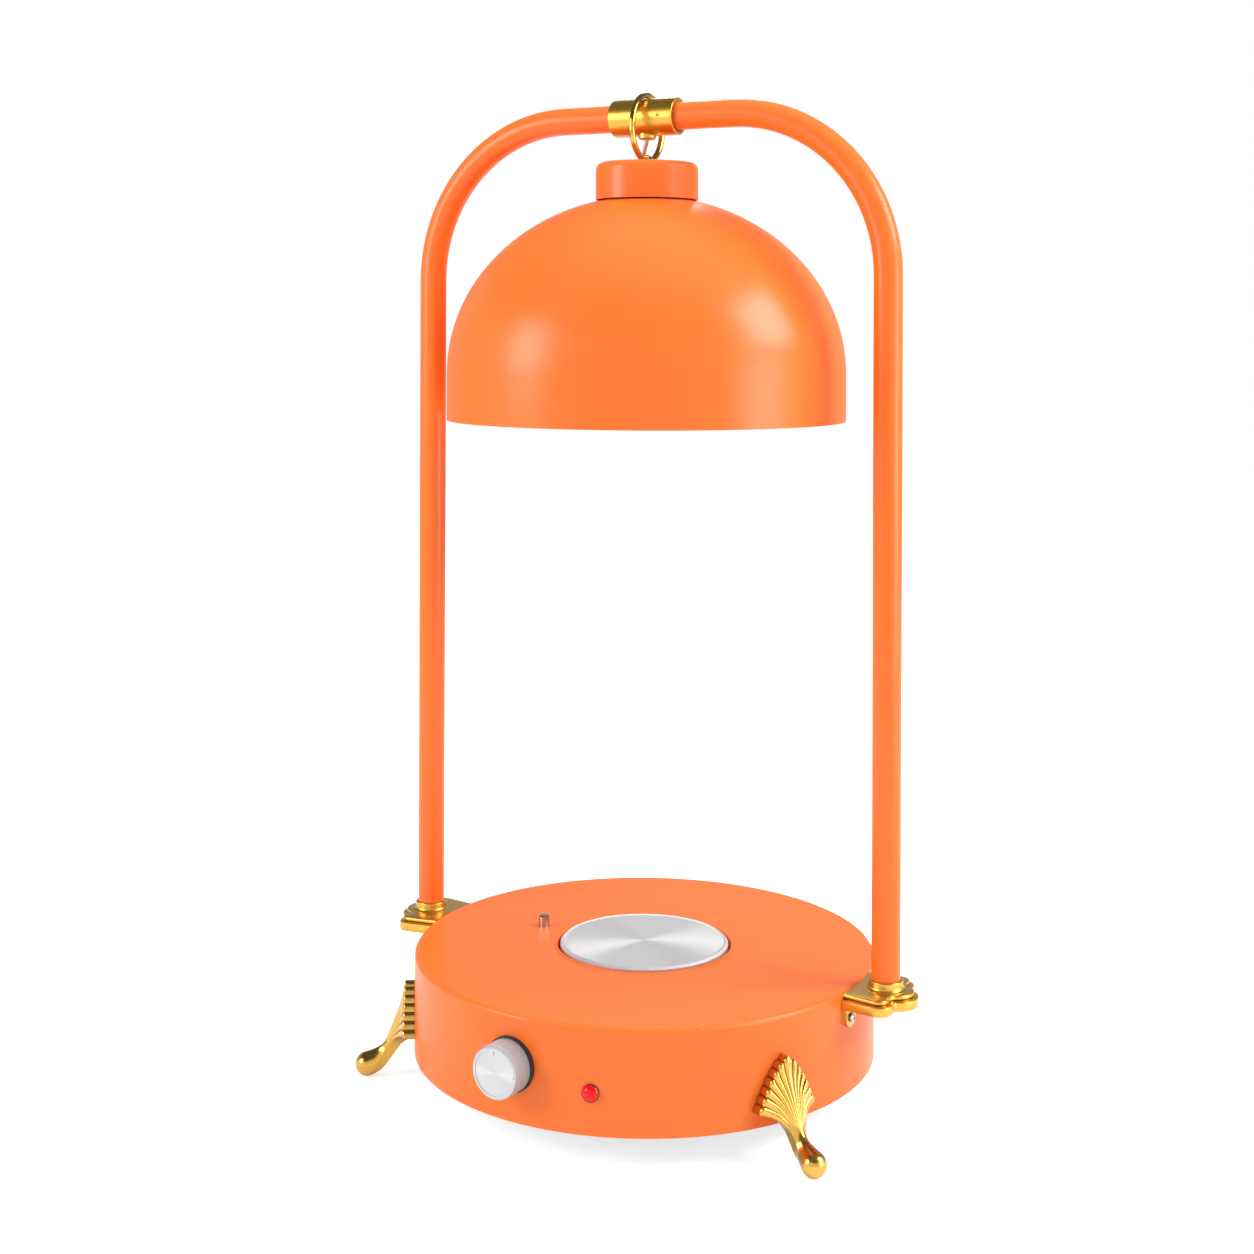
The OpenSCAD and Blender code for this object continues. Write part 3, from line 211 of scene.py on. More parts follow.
def grain_group():
    """Fine bumpy grain of powder paint or a casting, and a slow drift of roughness."""
    if "Surface grain" in bpy.data.node_groups:
        return bpy.data.node_groups["Surface grain"]
    group, tree, given, out = effect_group(
        "Surface grain",
        [("Scale", "NodeSocketFloat", 900.0), ("Height", "NodeSocketFloat", 0.05),
         ("Roughness", "NodeSocketFloat", 0.4), ("Drift", "NodeSocketFloat", 0.05)],
        [("Roughness", "NodeSocketFloat"), ("Normal", "NodeSocketVector")],
    )
    place = tree.add("ShaderNodeTexCoord").outputs["Object"]
    fine = tree.add("ShaderNodeTexNoise", {"Vector": place, "Scale": given.outputs["Scale"], "Detail": 2.0})
    slow = tree.add("ShaderNodeTexNoise", {"Vector": place, "Scale": 14.0, "Detail": 3.0})
    centred = tree.add("ShaderNodeMath", {0: slow.outputs["Fac"], 1: 0.5}, operation="SUBTRACT")
    drift = tree.add("ShaderNodeMath", {0: centred.outputs[0], 1: given.outputs["Drift"]}, operation="MULTIPLY")
    total = tree.add("ShaderNodeMath", {0: given.outputs["Roughness"], 1: drift.outputs[0]}, operation="ADD")
    bump = tree.add("ShaderNodeBump", {"Height": fine.outputs["Fac"], "Strength": given.outputs["Height"],
                                      "Distance": 0.2 * MM})
    tree.link(total.outputs[0], out.inputs["Roughness"])
    tree.link(bump.outputs["Normal"], out.inputs["Normal"])
    return group


def distance_from_axis(tree, given):
    """The distance of a point from the axis that a group's Centre and Axis inputs give."""
    place = tree.add("ShaderNodeTexCoord").outputs["Object"]
    offset = tree.add("ShaderNodeVectorMath", {0: place, 1: given.outputs["Centre"]}, operation="SUBTRACT")
    across = tree.add("ShaderNodeVectorMath", {0: offset.outputs[0], 1: given.outputs["Axis"]},
                      operation="CROSS_PRODUCT")
    return tree.add("ShaderNodeVectorMath", {0: across.outputs[0]}, operation="LENGTH").outputs["Value"]


def spun_group():
    """Fine rings cut round an axis: the distance from the axis drives the grooves and their shade."""
    if "Turned rings" in bpy.data.node_groups:
        return bpy.data.node_groups["Turned rings"]
    group, tree, given, out = effect_group(
        "Turned rings",
        [("Centre", "NodeSocketVector", (0, 0, 0)), ("Axis", "NodeSocketVector", (0, 0, 1)),
         ("Pitch", "NodeSocketFloat", 2500.0), ("Height", "NodeSocketFloat", 0.3),
         ("Dark", "NodeSocketColor", (0.5, 0.5, 0.5, 1)), ("Bright", "NodeSocketColor", (0.8, 0.8, 0.8, 1))],
        [("Color", "NodeSocketColor"), ("Normal", "NodeSocketVector")],
    )
    radius = distance_from_axis(tree, given)
    rings = tree.add("ShaderNodeTexNoise", {"W": radius, "Scale": given.outputs["Pitch"], "Detail": 4.0,
                                           "Roughness": 0.7}, noise_dimensions="1D")
    shade = tree.add("ShaderNodeMix", {"Factor_Float": rings.outputs["Fac"], "A_Color": given.outputs["Dark"],
                                      "B_Color": given.outputs["Bright"]}, data_type="RGBA")
    bump = tree.add("ShaderNodeBump", {"Height": rings.outputs["Fac"], "Strength": given.outputs["Height"],
                                      "Distance": 0.05 * MM})
    tree.link(socket_of(shade.outputs, "Result_Color"), out.inputs["Color"])
    tree.link(bump.outputs["Normal"], out.inputs["Normal"])
    return group


def knurl_group():
    """Paints shade into the grooves cut along a turned side: they lie nearer to the axis than the crests between them.
    """
    group, tree, given, out = effect_group(
        "Knurled side",
        [("Color", "NodeSocketColor", (0.8, 0.8, 0.8, 1)), ("Painted shade", "NodeSocketColor", (0.1, 0.1, 0.1, 1)),
         ("Centre", "NodeSocketVector", (0, 0, 0)), ("Axis", "NodeSocketVector", (0, 0, 1)),
         ("Edge", "NodeSocketFloat", KNURL_EDGE), ("Root", "NodeSocketFloat", KNURL_ROOT),
         ("Crest", "NodeSocketFloat", KNURL_CREST)],
        [("Color", "NodeSocketColor")],
    )
    radius = distance_from_axis(tree, given)
    crest = tree.add("ShaderNodeMapRange", {"Value": radius, "From Min": given.outputs["Root"],
                                           "From Max": given.outputs["Crest"]})
    side = tree.add("ShaderNodeMath", {0: radius, 1: given.outputs["Edge"]}, operation="GREATER_THAN")
    painted_shade = tree.add("ShaderNodeMath", {0: 1.0, 1: crest.outputs[0]}, operation="SUBTRACT")
    mask = tree.add("ShaderNodeMath", {0: painted_shade.outputs[0], 1: side.outputs[0]}, operation="MULTIPLY")
    shade = tree.add("ShaderNodeMix", {"Factor_Float": mask.outputs[0], "A_Color": given.outputs["Color"],
                                      "B_Color": given.outputs["Painted shade"]}, data_type="RGBA")
    tree.link(socket_of(shade.outputs, "Result_Color"), out.inputs["Color"])
    return group


def smooth_group(limit):
    """Geometry nodes that join the facets of a form and shade it smooth below an angle between them."""
    name = f"Smooth below {limit} degrees"
    if name in bpy.data.node_groups:
        return bpy.data.node_groups[name]
    group = bpy.data.node_groups.new(name, "GeometryNodeTree")
    group.interface.new_socket(name="Geometry", in_out="INPUT", socket_type="NodeSocketGeometry")
    group.interface.new_socket(name="Geometry", in_out="OUTPUT", socket_type="NodeSocketGeometry")
    tree = Tree(group)
    given, out = tree.add("NodeGroupInput"), tree.add("NodeGroupOutput")
    bare = tree.add("GeometryNodeRemoveAttribute", {"Geometry": given.outputs[0], "Name": "custom_normal"})
    joined = tree.add("GeometryNodeMergeByDistance", {"Geometry": bare.outputs[0], "Distance": 0.01 * MM})
    angle = tree.add("GeometryNodeInputMeshEdgeAngle")
    gentle = tree.add("FunctionNodeCompare", {0: angle.outputs["Unsigned Angle"], 1: math.radians(limit)},
                      data_type="FLOAT", operation="LESS_EQUAL")
    edges = tree.add("GeometryNodeSetShadeSmooth", {"Geometry": joined.outputs[0], "Shade Smooth": gentle.outputs[0]},
                     domain="EDGE")
    faces = tree.add("GeometryNodeSetShadeSmooth", {"Geometry": edges.outputs[0], "Shade Smooth": True},
                     domain="FACE")
    tree.link(faces.outputs[0], out.inputs[0])
    return group


def smooth_form(node, limit):
    """Shades a CAD node smooth where its facets meet at less than this many degrees."""
    modifier = nodes[node].modifiers.new("Smooth form", "NODES")
    modifier.node_group = smooth_group(limit)


def empty_material(name):
    """A new material and its node tree, still empty."""
    material = bpy.data.materials.new(name)
    material.use_nodes = True
    return material, Tree(material.node_tree)


def plain(name, color, **values):
    """A material with one Principled BSDF: values are its own sockets, named with underscores."""
    material, tree = empty_material(name)
    shader = tree.add("ShaderNodeBsdfPrincipled", {"Base Color": (*color, 1.0)})
    for key, value in values.items():
        shader.inputs[key.replace("_", " ")].default_value = value
    surface = tree.add("ShaderNodeOutputMaterial")
    tree.link(shader.outputs[0], surface.inputs["Surface"])
    return material, tree, shader


def grained(name, color, roughness, scale, height, drift, **values):
    """A plain material whose roughness and normal come from the surface grain group."""
    material, tree, shader = plain(name, color, **values)
    grain = tree.add("ShaderNodeGroup", node_tree=grain_group())
    for label, value in (("Scale", scale), ("Height", height), ("Roughness", roughness), ("Drift", drift)):
        grain.inputs[label].default_value = value
    tree.link(grain.outputs["Roughness"], shader.inputs["Roughness"])
    tree.link(grain.outputs["Normal"], shader.inputs["Normal"])
    return material


def turned(name, dark, bright, centre, axis, radial, **values):
    """A plain material with turned rings about an axis and a highlight that fans out from its centre."""
    material, tree, shader = plain(name, bright, **values)
    rings = tree.add("ShaderNodeGroup", node_tree=spun_group())
    rings.inputs["Centre"].default_value = centre
    rings.inputs["Axis"].default_value = axis
    rings.inputs["Dark"].default_value = (*dark, 1.0)
    rings.inputs["Bright"].default_value = (*bright, 1.0)
    tangent = tree.add("ShaderNodeTangent", direction_type="RADIAL", axis=radial)
    tree.link(rings.outputs["Color"], shader.inputs["Base Color"])
    tree.link(rings.outputs["Normal"], shader.inputs["Normal"])
    tree.link(tangent.outputs[0], shader.inputs["Tangent"])
    return material, tree, shader


def knurled(tree, shader, centre, axis):
    """Passes a turned material's colour through the knurled side group, which paints shade into the grooves."""
    side = tree.add("ShaderNodeGroup", node_tree=knurl_group())
    side.inputs["Centre"].default_value = centre
    side.inputs["Axis"].default_value = axis
    side.inputs["Painted shade"].default_value = (*KNURL_PAINTED_SHADE, 1.0)
    tree.link(shader.inputs["Base Color"].links[0].from_socket, side.inputs["Color"])
    tree.link(side.outputs["Color"], shader.inputs["Base Color"])


def finish_with(material, *names):
    """Gives CAD nodes this material on every face."""
    for name in names:
        mesh = nodes[name].data
        mesh.materials.clear()
        mesh.materials.append(material)


def placed(name, mesh):
    """A new object in the scene that shows this mesh."""
    piece = bpy.data.objects.new(name, mesh)
    bpy.context.scene.collection.objects.link(piece)
    return piece


class HEATLAMP_OT_painted_sheet(bpy.types.Operator):
    """Satin powder paint on the drum, the arch, the shade and its cap"""

    bl_idname = "heatlamp.painted_sheet"
    bl_label = "Painted sheet and tube"

    def execute(self, context):
        finishes = context.scene.heat_lamp_finishes
        paint = grained("Orange powder paint", finishes.paint, roughness=finishes.paint_roughness, scale=1400.0,
                        height=0.02, drift=0.04, Specular_IOR_Level=0.32)
        finish_with(paint, "base_drum", "arch_tube", "shade_cap", "shade_dome")
        smooth_form("shade_dome", 14)
        return {"FINISHED"}


class HEATLAMP_OT_cast_brass(bpy.types.Operator):
    """Lacquered brass on the brackets, the sleeve, the ring and the eye"""

    bl_idname = "heatlamp.cast_brass"
    bl_label = "Cast and turned brass"

    def execute(self, context):
        brass = tuple(context.scene.heat_lamp_finishes.brass)
        polished = grained("Polished brass", brass, roughness=0.14, scale=300.0, height=0.04, drift=0.06,
                           Metallic=1.0, Coat_Weight=0.6, Coat_Roughness=0.08)
        satin = grained("Satin brass", brass, roughness=0.33, scale=500.0, height=0.02, drift=0.04,
                        Metallic=1.0, Coat_Weight=0.5, Coat_Roughness=0.15)
        finish_with(polished, "hanger_ring", "cap_eye")
        finish_with(satin, "bracket_left", "bracket_right", "hanger_sleeve", "lead_outlet", "sleeve_set_screw",
                    "lampholder_shell", "lampholder_contact")
        for node in ("bracket_left", "bracket_right"):
            smooth_form(node, 32)
        return {"FINISHED"}


FOOT_TURNS = {"foot_front_right": 60, "foot_front_left": -60, "foot_rear": 180}
RIBS = 13
RIB_STEPS = 10
SCALLOP = 0.06
# Points across the ribs, and the points on the keel's left side, back and right side between its corners.
COLUMNS = RIBS * RIB_STEPS
KEEL_POINTS = (8, 10, 8)
# Out from the drum's wall and up from the table, in millimetres, from the neck (0) to the scalloped edge (1):
# the ridge in the middle (out, up), the fan's edge (out, aside, up) and the keel behind it (out, aside, up).
RIDGE = {
    0: (28.5, 19.6), 0.06: (25.3, 21.5), 0.12: (22.9, 23.8), 0.2: (20.9, 27.2), 0.3: (18.8, 31.8),
    0.42: (16.1, 38.2), 0.55: (13, 45.4), 0.68: (10.4, 51.9), 0.8: (8.6, 57.8), 0.9: (7.5, 62.8),
    0.96: (7, 66.2), 1: (6.2, 68.4),
}
EDGE = {
    0: (26.1, 6, 14.6), 0.06: (23.7, 5.3, 17.2), 0.12: (21.7, 5, 20), 0.2: (19.9, 5.4, 23), 0.3: (18, 6.6, 25.8),
    0.42: (15.2, 8.8, 28.6), 0.55: (12.7, 11.6, 30.8), 0.68: (10.3, 14.8, 32.4), 0.8: (8.6, 18, 33.5),
    0.9: (7.5, 20.6, 34.2), 0.96: (6.9, 22, 34.5), 1: (6, 22.8, 34.6),
}
KEEL = {
    0: (21.1, 4.4, 8.2), 0.06: (18.7, 4.6, 11.6), 0.12: (16.1, 4.8, 15.4), 0.2: (13.5, 5.1, 19.2),
    0.3: (10.7, 5.8, 23.2), 0.42: (7.9, 7.6, 26.6), 0.55: (4.1, 10.4, 29.6), 0.68: (0, 14, 31.6),
    0.8: (-5, 17.6, 33), 0.9: (-7, 20.4, 33.9), 0.96: (-7.3, 21.8, 34.3), 1: (-7.5, 22.8, 34.6),
}
# How far the ribs' crests stand out, and the share of that height that their grooves are sunk below the form.
RIB_HEIGHT = {
    0: (0,), 0.06: (0,), 0.12: (0,), 0.2: (0.05,), 0.3: (0.2,), 0.42: (0.42,), 0.55: (0.7,), 0.68: (0.95,),
    0.8: (1.2,), 0.9: (1.4,), 0.96: (1.5,), 1: (1.4,),
}
RIB_SINK = 0.15
# The fan's sections, and the outermost ones that turn back to the wall: how far they spread and step back.
FAN_SECTIONS = 60
FAN_HUB = 46
RIM = ((0.35, 0.25), (0.6, 0.8), (0.65, 1.6), (0.65, 20))
WALL_GAP = 0.1
# The toe's sections, from the neck outwards: underside (out, up), top (out, up) and half the width.
TOE = (
    ((21.9, 6.3), (29.6, 19.1), 6.3), ((23.2, 4.3), (31, 18.5), 7), ((25.4, 2.2), (32.6, 17.9), 7.8),
    ((28.4, 0.7), (34.2, 17.4), 8.4), ((31.8, 0.1), (35.6, 17), 8.7),
)
# The toe's round end: its centre (out, up), radius, width to height, tilt, and the angles of its sections.
TOE_CENTRE = (34.75, 8.55)
TOE_RADIUS = 8.55
TOE_BROAD = 1.02
TOE_TILT = math.radians(9)
TOE_ANGLES = (88, 80, 70, 60, 50, 40, 30, 20, 10, 0)
# The part of a toe section's round that continues the ribs.
TOE_FRONT = math.radians(215)
# The neck: how many sections either side of it run together, and how often they are averaged.
NECK_REACH = 5
NECK_PASSES = 10
# Where shade is painted into the brass: the grooves of the fan, the saddle behind the toe and the wall round the rim.
GROOVE_START = 34
GROOVE_GROWTH = 24
SADDLE_SECTIONS = range(8, 18)
SADDLE_HALF_WIDTH = 0.5
SADDLE_PAINTED_SHADE = 0.8
WALL_SECTIONS = 3
WALL_PAINTED_SHADE = 0.55


def between(table, t):
    """A smooth curve through a table's rows."""
    keys = sorted(table)
    t = min(max(t, keys[0]), keys[-1])
    i = min(max(sum(key <= t for key in keys) - 1, 0), len(keys) - 2)
    span = keys[i + 1] - keys[i]
    u = (t - keys[i]) / span

    def slope(j, axis):
        a, b = max(j - 1, 0), min(j + 1, len(keys) - 1)
        return (table[keys[b]][axis] - table[keys[a]][axis]) / (keys[b] - keys[a])

    values = []
    for axis in range(len(table[keys[i]])):
        p, q = table[keys[i]][axis], table[keys[i + 1]][axis]
        m, n = slope(i, axis) * span, slope(i + 1, axis) * span
        values.append((2 * u ** 3 - 3 * u ** 2 + 1) * p + (u ** 3 - 2 * u ** 2 + u) * m
                      + (3 * u ** 2 - 2 * u ** 3) * q + (u ** 3 - u ** 2) * n)
    return values


def rib_phase(j):
    """Where a column lies on its rib: 0 on the crest, 1 or -1 in a groove."""
    return (j % RIB_STEPS) / RIB_STEPS * 2 - 1 if j % RIB_STEPS else 1


def foot_ring(t):
    """One section of the fan and its stem: ribs across the front, then the keel round the back."""
    points = []
    for j in range(COLUMNS + 1):
        across = 2 * j / COLUMNS - 1
        crown = max(0.0, 1 - abs(rib_phase(j)) ** 2.4) ** 0.8
        s = t * (1 - SCALLOP * (1 - crown) * t * t)
        ridge, edge = between(RIDGE, s), between(EDGE, s)
        out = ridge[0] + (edge[0] - ridge[0]) * across ** 2 + between(RIB_HEIGHT, s)[0] * (crown - RIB_SINK)
        aside = edge[1] * math.copysign(abs(across) ** (1 - 0.28 * t), across)
        up = ridge[1] + (edge[2] - ridge[1]) * abs(across) ** (2 - 0.85 * t)
        points.append(Vector((out, aside, up)))
    out, aside, up = between(KEEL, t)
    corners = [points[-1], Vector((out, aside, up)), Vector((out, -aside, up)), points[0]]
    for a, b, count in zip(corners, corners[1:], KEEL_POINTS):
        points += [a.lerp(b, (k + 1) / (count + 1)) for k in range(count)]
        points.append(b)
    return points[:-1]


def toe_ring(under, top, half):
    """One oval section of the toe, with as many points as the fan's sections."""
    under, top = Vector((under[0], 0, under[1])), Vector((top[0], 0, top[1]))
    centre, rise = (under + top) / 2, (top - under) / 2
    back_points = sum(KEEL_POINTS) + 2
    turns = [-TOE_FRONT / 2 + TOE_FRONT * j / COLUMNS for j in range(COLUMNS + 1)]
    turns += [TOE_FRONT / 2 + (2 * math.pi - TOE_FRONT) * (k + 1) / (back_points + 1) for k in range(back_points)]
    return [centre + rise * math.cos(a) + Vector((0, half * math.sin(a), 0)) for a in turns]


def foot_sections():
    """All sections of a foot from the toe's tip to the scalloped edge."""
    rings = []
    ahead = Vector((math.cos(TOE_TILT), 0, -math.sin(TOE_TILT)))
    rise = Vector((math.sin(TOE_TILT), 0, math.cos(TOE_TILT)))
    centre = Vector((TOE_CENTRE[0], 0, TOE_CENTRE[1]))
    for angle in TOE_ANGLES:
        a = math.radians(angle)
        hub = centre + ahead * (TOE_RADIUS * math.sin(a))
        reach = TOE_RADIUS * math.cos(a)
        under, top = hub - rise * reach, hub + rise * reach
        rings.append(toe_ring((under.x, under.z), (top.x, top.z), reach * TOE_BROAD))
    rings += [toe_ring(under, top, half) for under, top, half in reversed(TOE)]
    neck = len(rings)
    rings += [foot_ring(i / FAN_SECTIONS) for i in range(FAN_SECTIONS + 1)]
    # The sections either side of the neck run into each other, as a casting's do.
    for _ in range(NECK_PASSES):
        smooth = [ring[:] for ring in rings]
        for i in range(neck - NECK_REACH, neck + NECK_REACH):
            for k, point in enumerate(rings[i]):
                smooth[i][k] = point / 2 + (rings[i - 1][k] + rings[i + 1][k]) / 4
        rings = smooth
    return rings


def rim_sections(edge):
    """The rounded rim round the scalloped edge and the wall back to the drum."""
    rings = []
    for spread, back in RIM:
        ring = []
        for k, point in enumerate(edge):
            aside = Vector((0, point.y, point.z - FAN_HUB))
            if k <= COLUMNS:
                point = point + aside.normalized() * spread
            ring.append(Vector((point.x - back, point.y, point.z)))
        rings.append(ring)
    return rings


def seated(point, radius):
    """Millimetres from the drum's axis, kept outside the drum."""
    x, y = radius + point.x, point.y
    if x * x + y * y < (radius + WALL_GAP) ** 2:
        x = math.sqrt((radius + WALL_GAP) ** 2 - y * y)
    return Vector((x, y, point.z))


def painted_shade_at(i, k, sections):
    """How much shade is painted at a point: section i of them all, column k across the ribs."""
    fan = min(max((i - GROOVE_START) / GROOVE_GROWTH, 0), 1)
    painted_shade = fan * abs(rib_phase(k)) ** 4 if 0 < k < COLUMNS else 0.0
    on_saddle = i in SADDLE_SECTIONS and abs(2 * k / COLUMNS - 1) < SADDLE_HALF_WIDTH
    on_wall = i >= sections - WALL_SECTIONS
    return max(WALL_PAINTED_SHADE if on_wall else 0.0, SADDLE_PAINTED_SHADE if on_saddle else 0.0, painted_shade)


def foot_skin(name):
    """A foot in its own place: one closed casting of its sections, with shade painted in its grooves, saddle and wall.
    """
    rings = foot_sections()
    rings += rim_sections(rings[-1])
    radius = high("base_drum").x / MM
    count = len(rings[0])
    turn = Matrix.Rotation(math.radians(FOOT_TURNS[name] - 90), 3, "Z")
    vertices = [turn @ (seated(point, radius) * MM) for ring in rings for point in ring]
    faces = []
    for i in range(len(rings) - 1):
        for k in range(count):
            j = (k + 1) % count
            faces.append((i * count + k, i * count + j, (i + 1) * count + j, (i + 1) * count + k))
    faces.append(tuple(range(count)))
    faces.append(tuple(reversed(range((len(rings) - 1) * count, len(rings) * count))))
    mesh = bpy.data.meshes.new(name + "_casting")
    mesh.from_pydata(vertices, [], faces)
    form = bmesh.new()
    form.from_mesh(mesh)
    bmesh.ops.recalc_face_normals(form, faces=form.faces)
    form.to_mesh(mesh)
    form.free()
    painted_shade = mesh.attributes.new("painted_shade", "FLOAT", "POINT")
    depth = [painted_shade_at(i, k, len(rings)) for i in range(len(rings)) for k in range(count)]
    painted_shade.data.foreach_set("value", depth)
    mesh.polygons.foreach_set("use_smooth", [True] * len(mesh.polygons))
    mesh.set_sharp_from_angle(angle=math.radians(60))
    return placed(name + "_casting", mesh)


class HEATLAMP_OT_shell_feet(bpy.types.Operator):
    """The three cast shell feet, with ribs that run together into the stem and a ball toe"""

    bl_idname = "heatlamp.shell_feet"
    bl_label = "Shell feet"

    def execute(self, context):
        brass = tuple(context.scene.heat_lamp_finishes.brass)
        material, tree, shader = plain("Polished foot brass", brass, Metallic=1.0, Roughness=0.22, Coat_Weight=0.9,
                                       Coat_Roughness=0.12)
        # Painted shade: the brass turns darker where the casting's attribute says, in the grooves, on the saddle and
        # on the wall.
        painted_shade = tree.add("ShaderNodeAttribute", attribute_name="painted_shade", attribute_type="GEOMETRY")
        tint = tree.add("ShaderNodeMix", {"Factor_Float": painted_shade.outputs["Fac"], "A_Color": (*brass, 1.0),
                                          "B_Color": (*BRASS_PAINTED_SHADE, 1.0)}, data_type="RGBA")
        tree.link(socket_of(tint.outputs, "Result_Color"), shader.inputs["Base Color"])
        for node in FOOT_TURNS:
            piece = foot_skin(node)
            piece.data.materials.append(material)
            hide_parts(node)
            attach(piece, "base")
        return {"FINISHED"}


class HEATLAMP_OT_spun_parts(bpy.types.Operator):
    """Turned aluminium on the warming plate and the knob, and chrome on the button"""

    bl_idname = "heatlamp.spun_parts"
    bl_label = "Warming plate, knob and button"

    def execute(self, context):
        bright = tuple(context.scene.heat_lamp_finishes.aluminium)
        dark = scaled(bright, 0.85)
        plate = turned("Spun plate", scaled(dark, 1.12), scaled(bright, 1.18), middle("warming_plate"), (0, 0, 1), "Z",
                       Metallic=0.6, Roughness=0.3, Anisotropic=0.85)[0]
        centre, axis = middle("control_knob"), Vector(joint_named("knob_turn")["axis"])
        knob, tree, shader = turned("Turned knob", scaled(dark, 0.85), scaled(bright, 0.88), centre, axis, "Y",
                                    Metallic=0.4, Roughness=0.4, Anisotropic=0.85)
        # The knob's knurled side gets painted shade in its grooves.
        knurled(tree, shader, centre, axis)
        chrome = plain("Bright chrome", CHROME, Metallic=1.0, Roughness=0.16)[0]
        finish_with(plate, "warming_plate")
        finish_with(knob, "control_knob")
        finish_with(chrome, "button_plunger", "plate_clip")
        return {"FINISHED"}


class HEATLAMP_OT_indicator(bpy.types.Operator):
    """Clear red on the indicator's lens"""

    bl_idname = "heatlamp.indicator"
    bl_label = "Indicator"

    def execute(self, context):
        red = tuple(context.scene.heat_lamp_finishes.lens)
        lens = plain("Red lens", red, Roughness=0.06, Specular_IOR_Level=0.3)[0]
        finish_with(lens, "indicator_lens")
        return {"FINISHED"}


class HEATLAMP_OT_hidden_parts(bpy.types.Operator):
    """Zinc steel, black plastic, rubber, ceramic and cable sheath on the parts inside and underneath"""

    bl_idname = "heatlamp.hidden_parts"
    bl_label = "Inside and underneath"

    def execute(self, context):
        zinc = grained("Zinc plate", ZINC, roughness=0.36, scale=500.0, height=0.05, drift=0.1, Metallic=1.0)
        moulding = grained("Black moulding", (0.022, 0.022, 0.023), roughness=0.5, scale=900.0, height=0.08,
                           drift=0.06)
        rubber = grained("Black rubber", (0.03, 0.03, 0.03), roughness=0.7, scale=700.0, height=0.1, drift=0.05)
        ceramic = grained("White ceramic", (0.78, 0.76, 0.7), roughness=0.45, scale=400.0, height=0.04, drift=0.08)
        sheath = plain("Cable sheath", (0.62, 0.55, 0.4), Roughness=0.4)[0]
        finish_with(zinc, "base_cover", "bracket_screws", "cover_screws", "heater_clamp_plate", "heater_clamp_nut",
                    "knob_grub_screw", "control_shaft", "control_nut", "indicator_nut", "button_housing",
                    "bracket_nuts", "post_grub_screws", "foot_screws", "eye_nuts", "gallery_rings",
                    "holder_strap", "strap_screws", "lampholder_sleeve", "heater_disc", "bulb_cap", "bulb_filament")
        finish_with(moulding, "control_body", "knob_ring", "indicator_body", "button_switch", "cord_gland_body",
                    "cord_gland_nut", "cord_gland_locknut")
        finish_with(rubber, "wire_grommets", "lead_grommet", "plate_seal")
        finish_with(ceramic, "lampholder_body", "insulation_disc", "terminal_block")
        finish_with(sheath, "base_wiring", "riser_cable")
        return {"FINISHED"}


class HEATLAMP_OT_bulb(bpy.types.Operator):
    """Frosted glass of the heat bulb"""

    bl_idname = "heatlamp.bulb"
    bl_label = "Heat bulb"

    def execute(self, context):
        glass = plain("Frosted bulb glass", (0.9, 0.88, 0.84), Roughness=0.3, IOR=1.45)[0]
        finish_with(glass, "bulb_envelope")
        smooth_form("bulb_envelope", 30)
        return {"FINISHED"}


def smooth_path(points, steps):
    """Points on a Catmull-Rom curve through the given ones."""
    ends = [2 * points[0] - points[1], *points, 2 * points[-1] - points[-2]]
    path = []
    for a, b, c, d in zip(ends, ends[1:], ends[2:], ends[3:]):
        for i in range(steps):
            t = i / steps
            path.append(0.5 * (2 * b + (c - a) * t + (2 * a - 5 * b + 4 * c - d) * t * t
                               + (3 * b - a - 3 * c + d) * t ** 3))
    path.append(points[-1])
    return path


def tube(name, path, radius, sides, material):
    """A closed tube along a path, its rings square to the path."""
    vertices, faces = [], []
    normal = Vector((1, 0, 0))
    for i, point in enumerate(path):
        along = (path[min(i + 1, len(path) - 1)] - path[max(i - 1, 0)]).normalized()
        normal = (normal - along * normal.dot(along)).normalized()
        side = along.cross(normal)
        for k in range(sides):
            turn = 2 * math.pi * k / sides
            vertices.append(point + radius * (math.cos(turn) * normal + math.sin(turn) * side))
    for i in range(len(path) - 1):
        for k in range(sides):
            j = (k + 1) % sides
            faces.append((i * sides + k, i * sides + j, (i + 1) * sides + j, (i + 1) * sides + k))
    faces.append(tuple(reversed(range(sides))))
    faces.append(tuple((len(path) - 1) * sides + k for k in range(sides)))
    mesh = bpy.data.meshes.new(name)
    mesh.from_pydata(vertices, [], faces)
    mesh.polygons.foreach_set("use_smooth", [True] * len(mesh.polygons))
    mesh.materials.append(material)
    return placed(name, mesh)


class HEATLAMP_OT_lead(bpy.types.Operator):
    """The short lead from the sleeve's outlet into the cap"""

    bl_idname = "heatlamp.lead"
    bl_label = "Hanger lead"

    def execute(self, context):
        sheath = plain("Lead sheath", (0.66, 0.57, 0.4), Roughness=0.35, Subsurface_Weight=0.1,
                       Subsurface_Scale=0.002)[0]
        outlet = low("lead_outlet").z
        grommet = middle("lead_grommet")
        cap = high("shade_cap").z
        route = [
            Vector((0, 0, middle("hanger_sleeve").z - 1 * MM)), Vector((0, 0, outlet + 2 * MM)),
            Vector((-0.6 * MM, 0.6 * MM, outlet - 1.5 * MM)), Vector((-4 * MM, 4.5 * MM, outlet - 6 * MM)),
            Vector((-7.4 * MM, 9.2 * MM, outlet - 10.5 * MM)), Vector((grommet.x, grommet.y, cap + 0.5 * MM)),
            Vector((grommet.x, grommet.y, cap - 7 * MM)),
            Vector((grommet.x + 1 * MM, grommet.y - 2 * MM, cap - 14 * MM)),
        ]
        path = smooth_path(route, 5)
        diameter = 2.9 * MM
        piece = tube("hanger_lead", path, diameter / 2, 16, sheath)
        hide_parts("lead")
        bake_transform(piece)
        return {"FINISHED"}


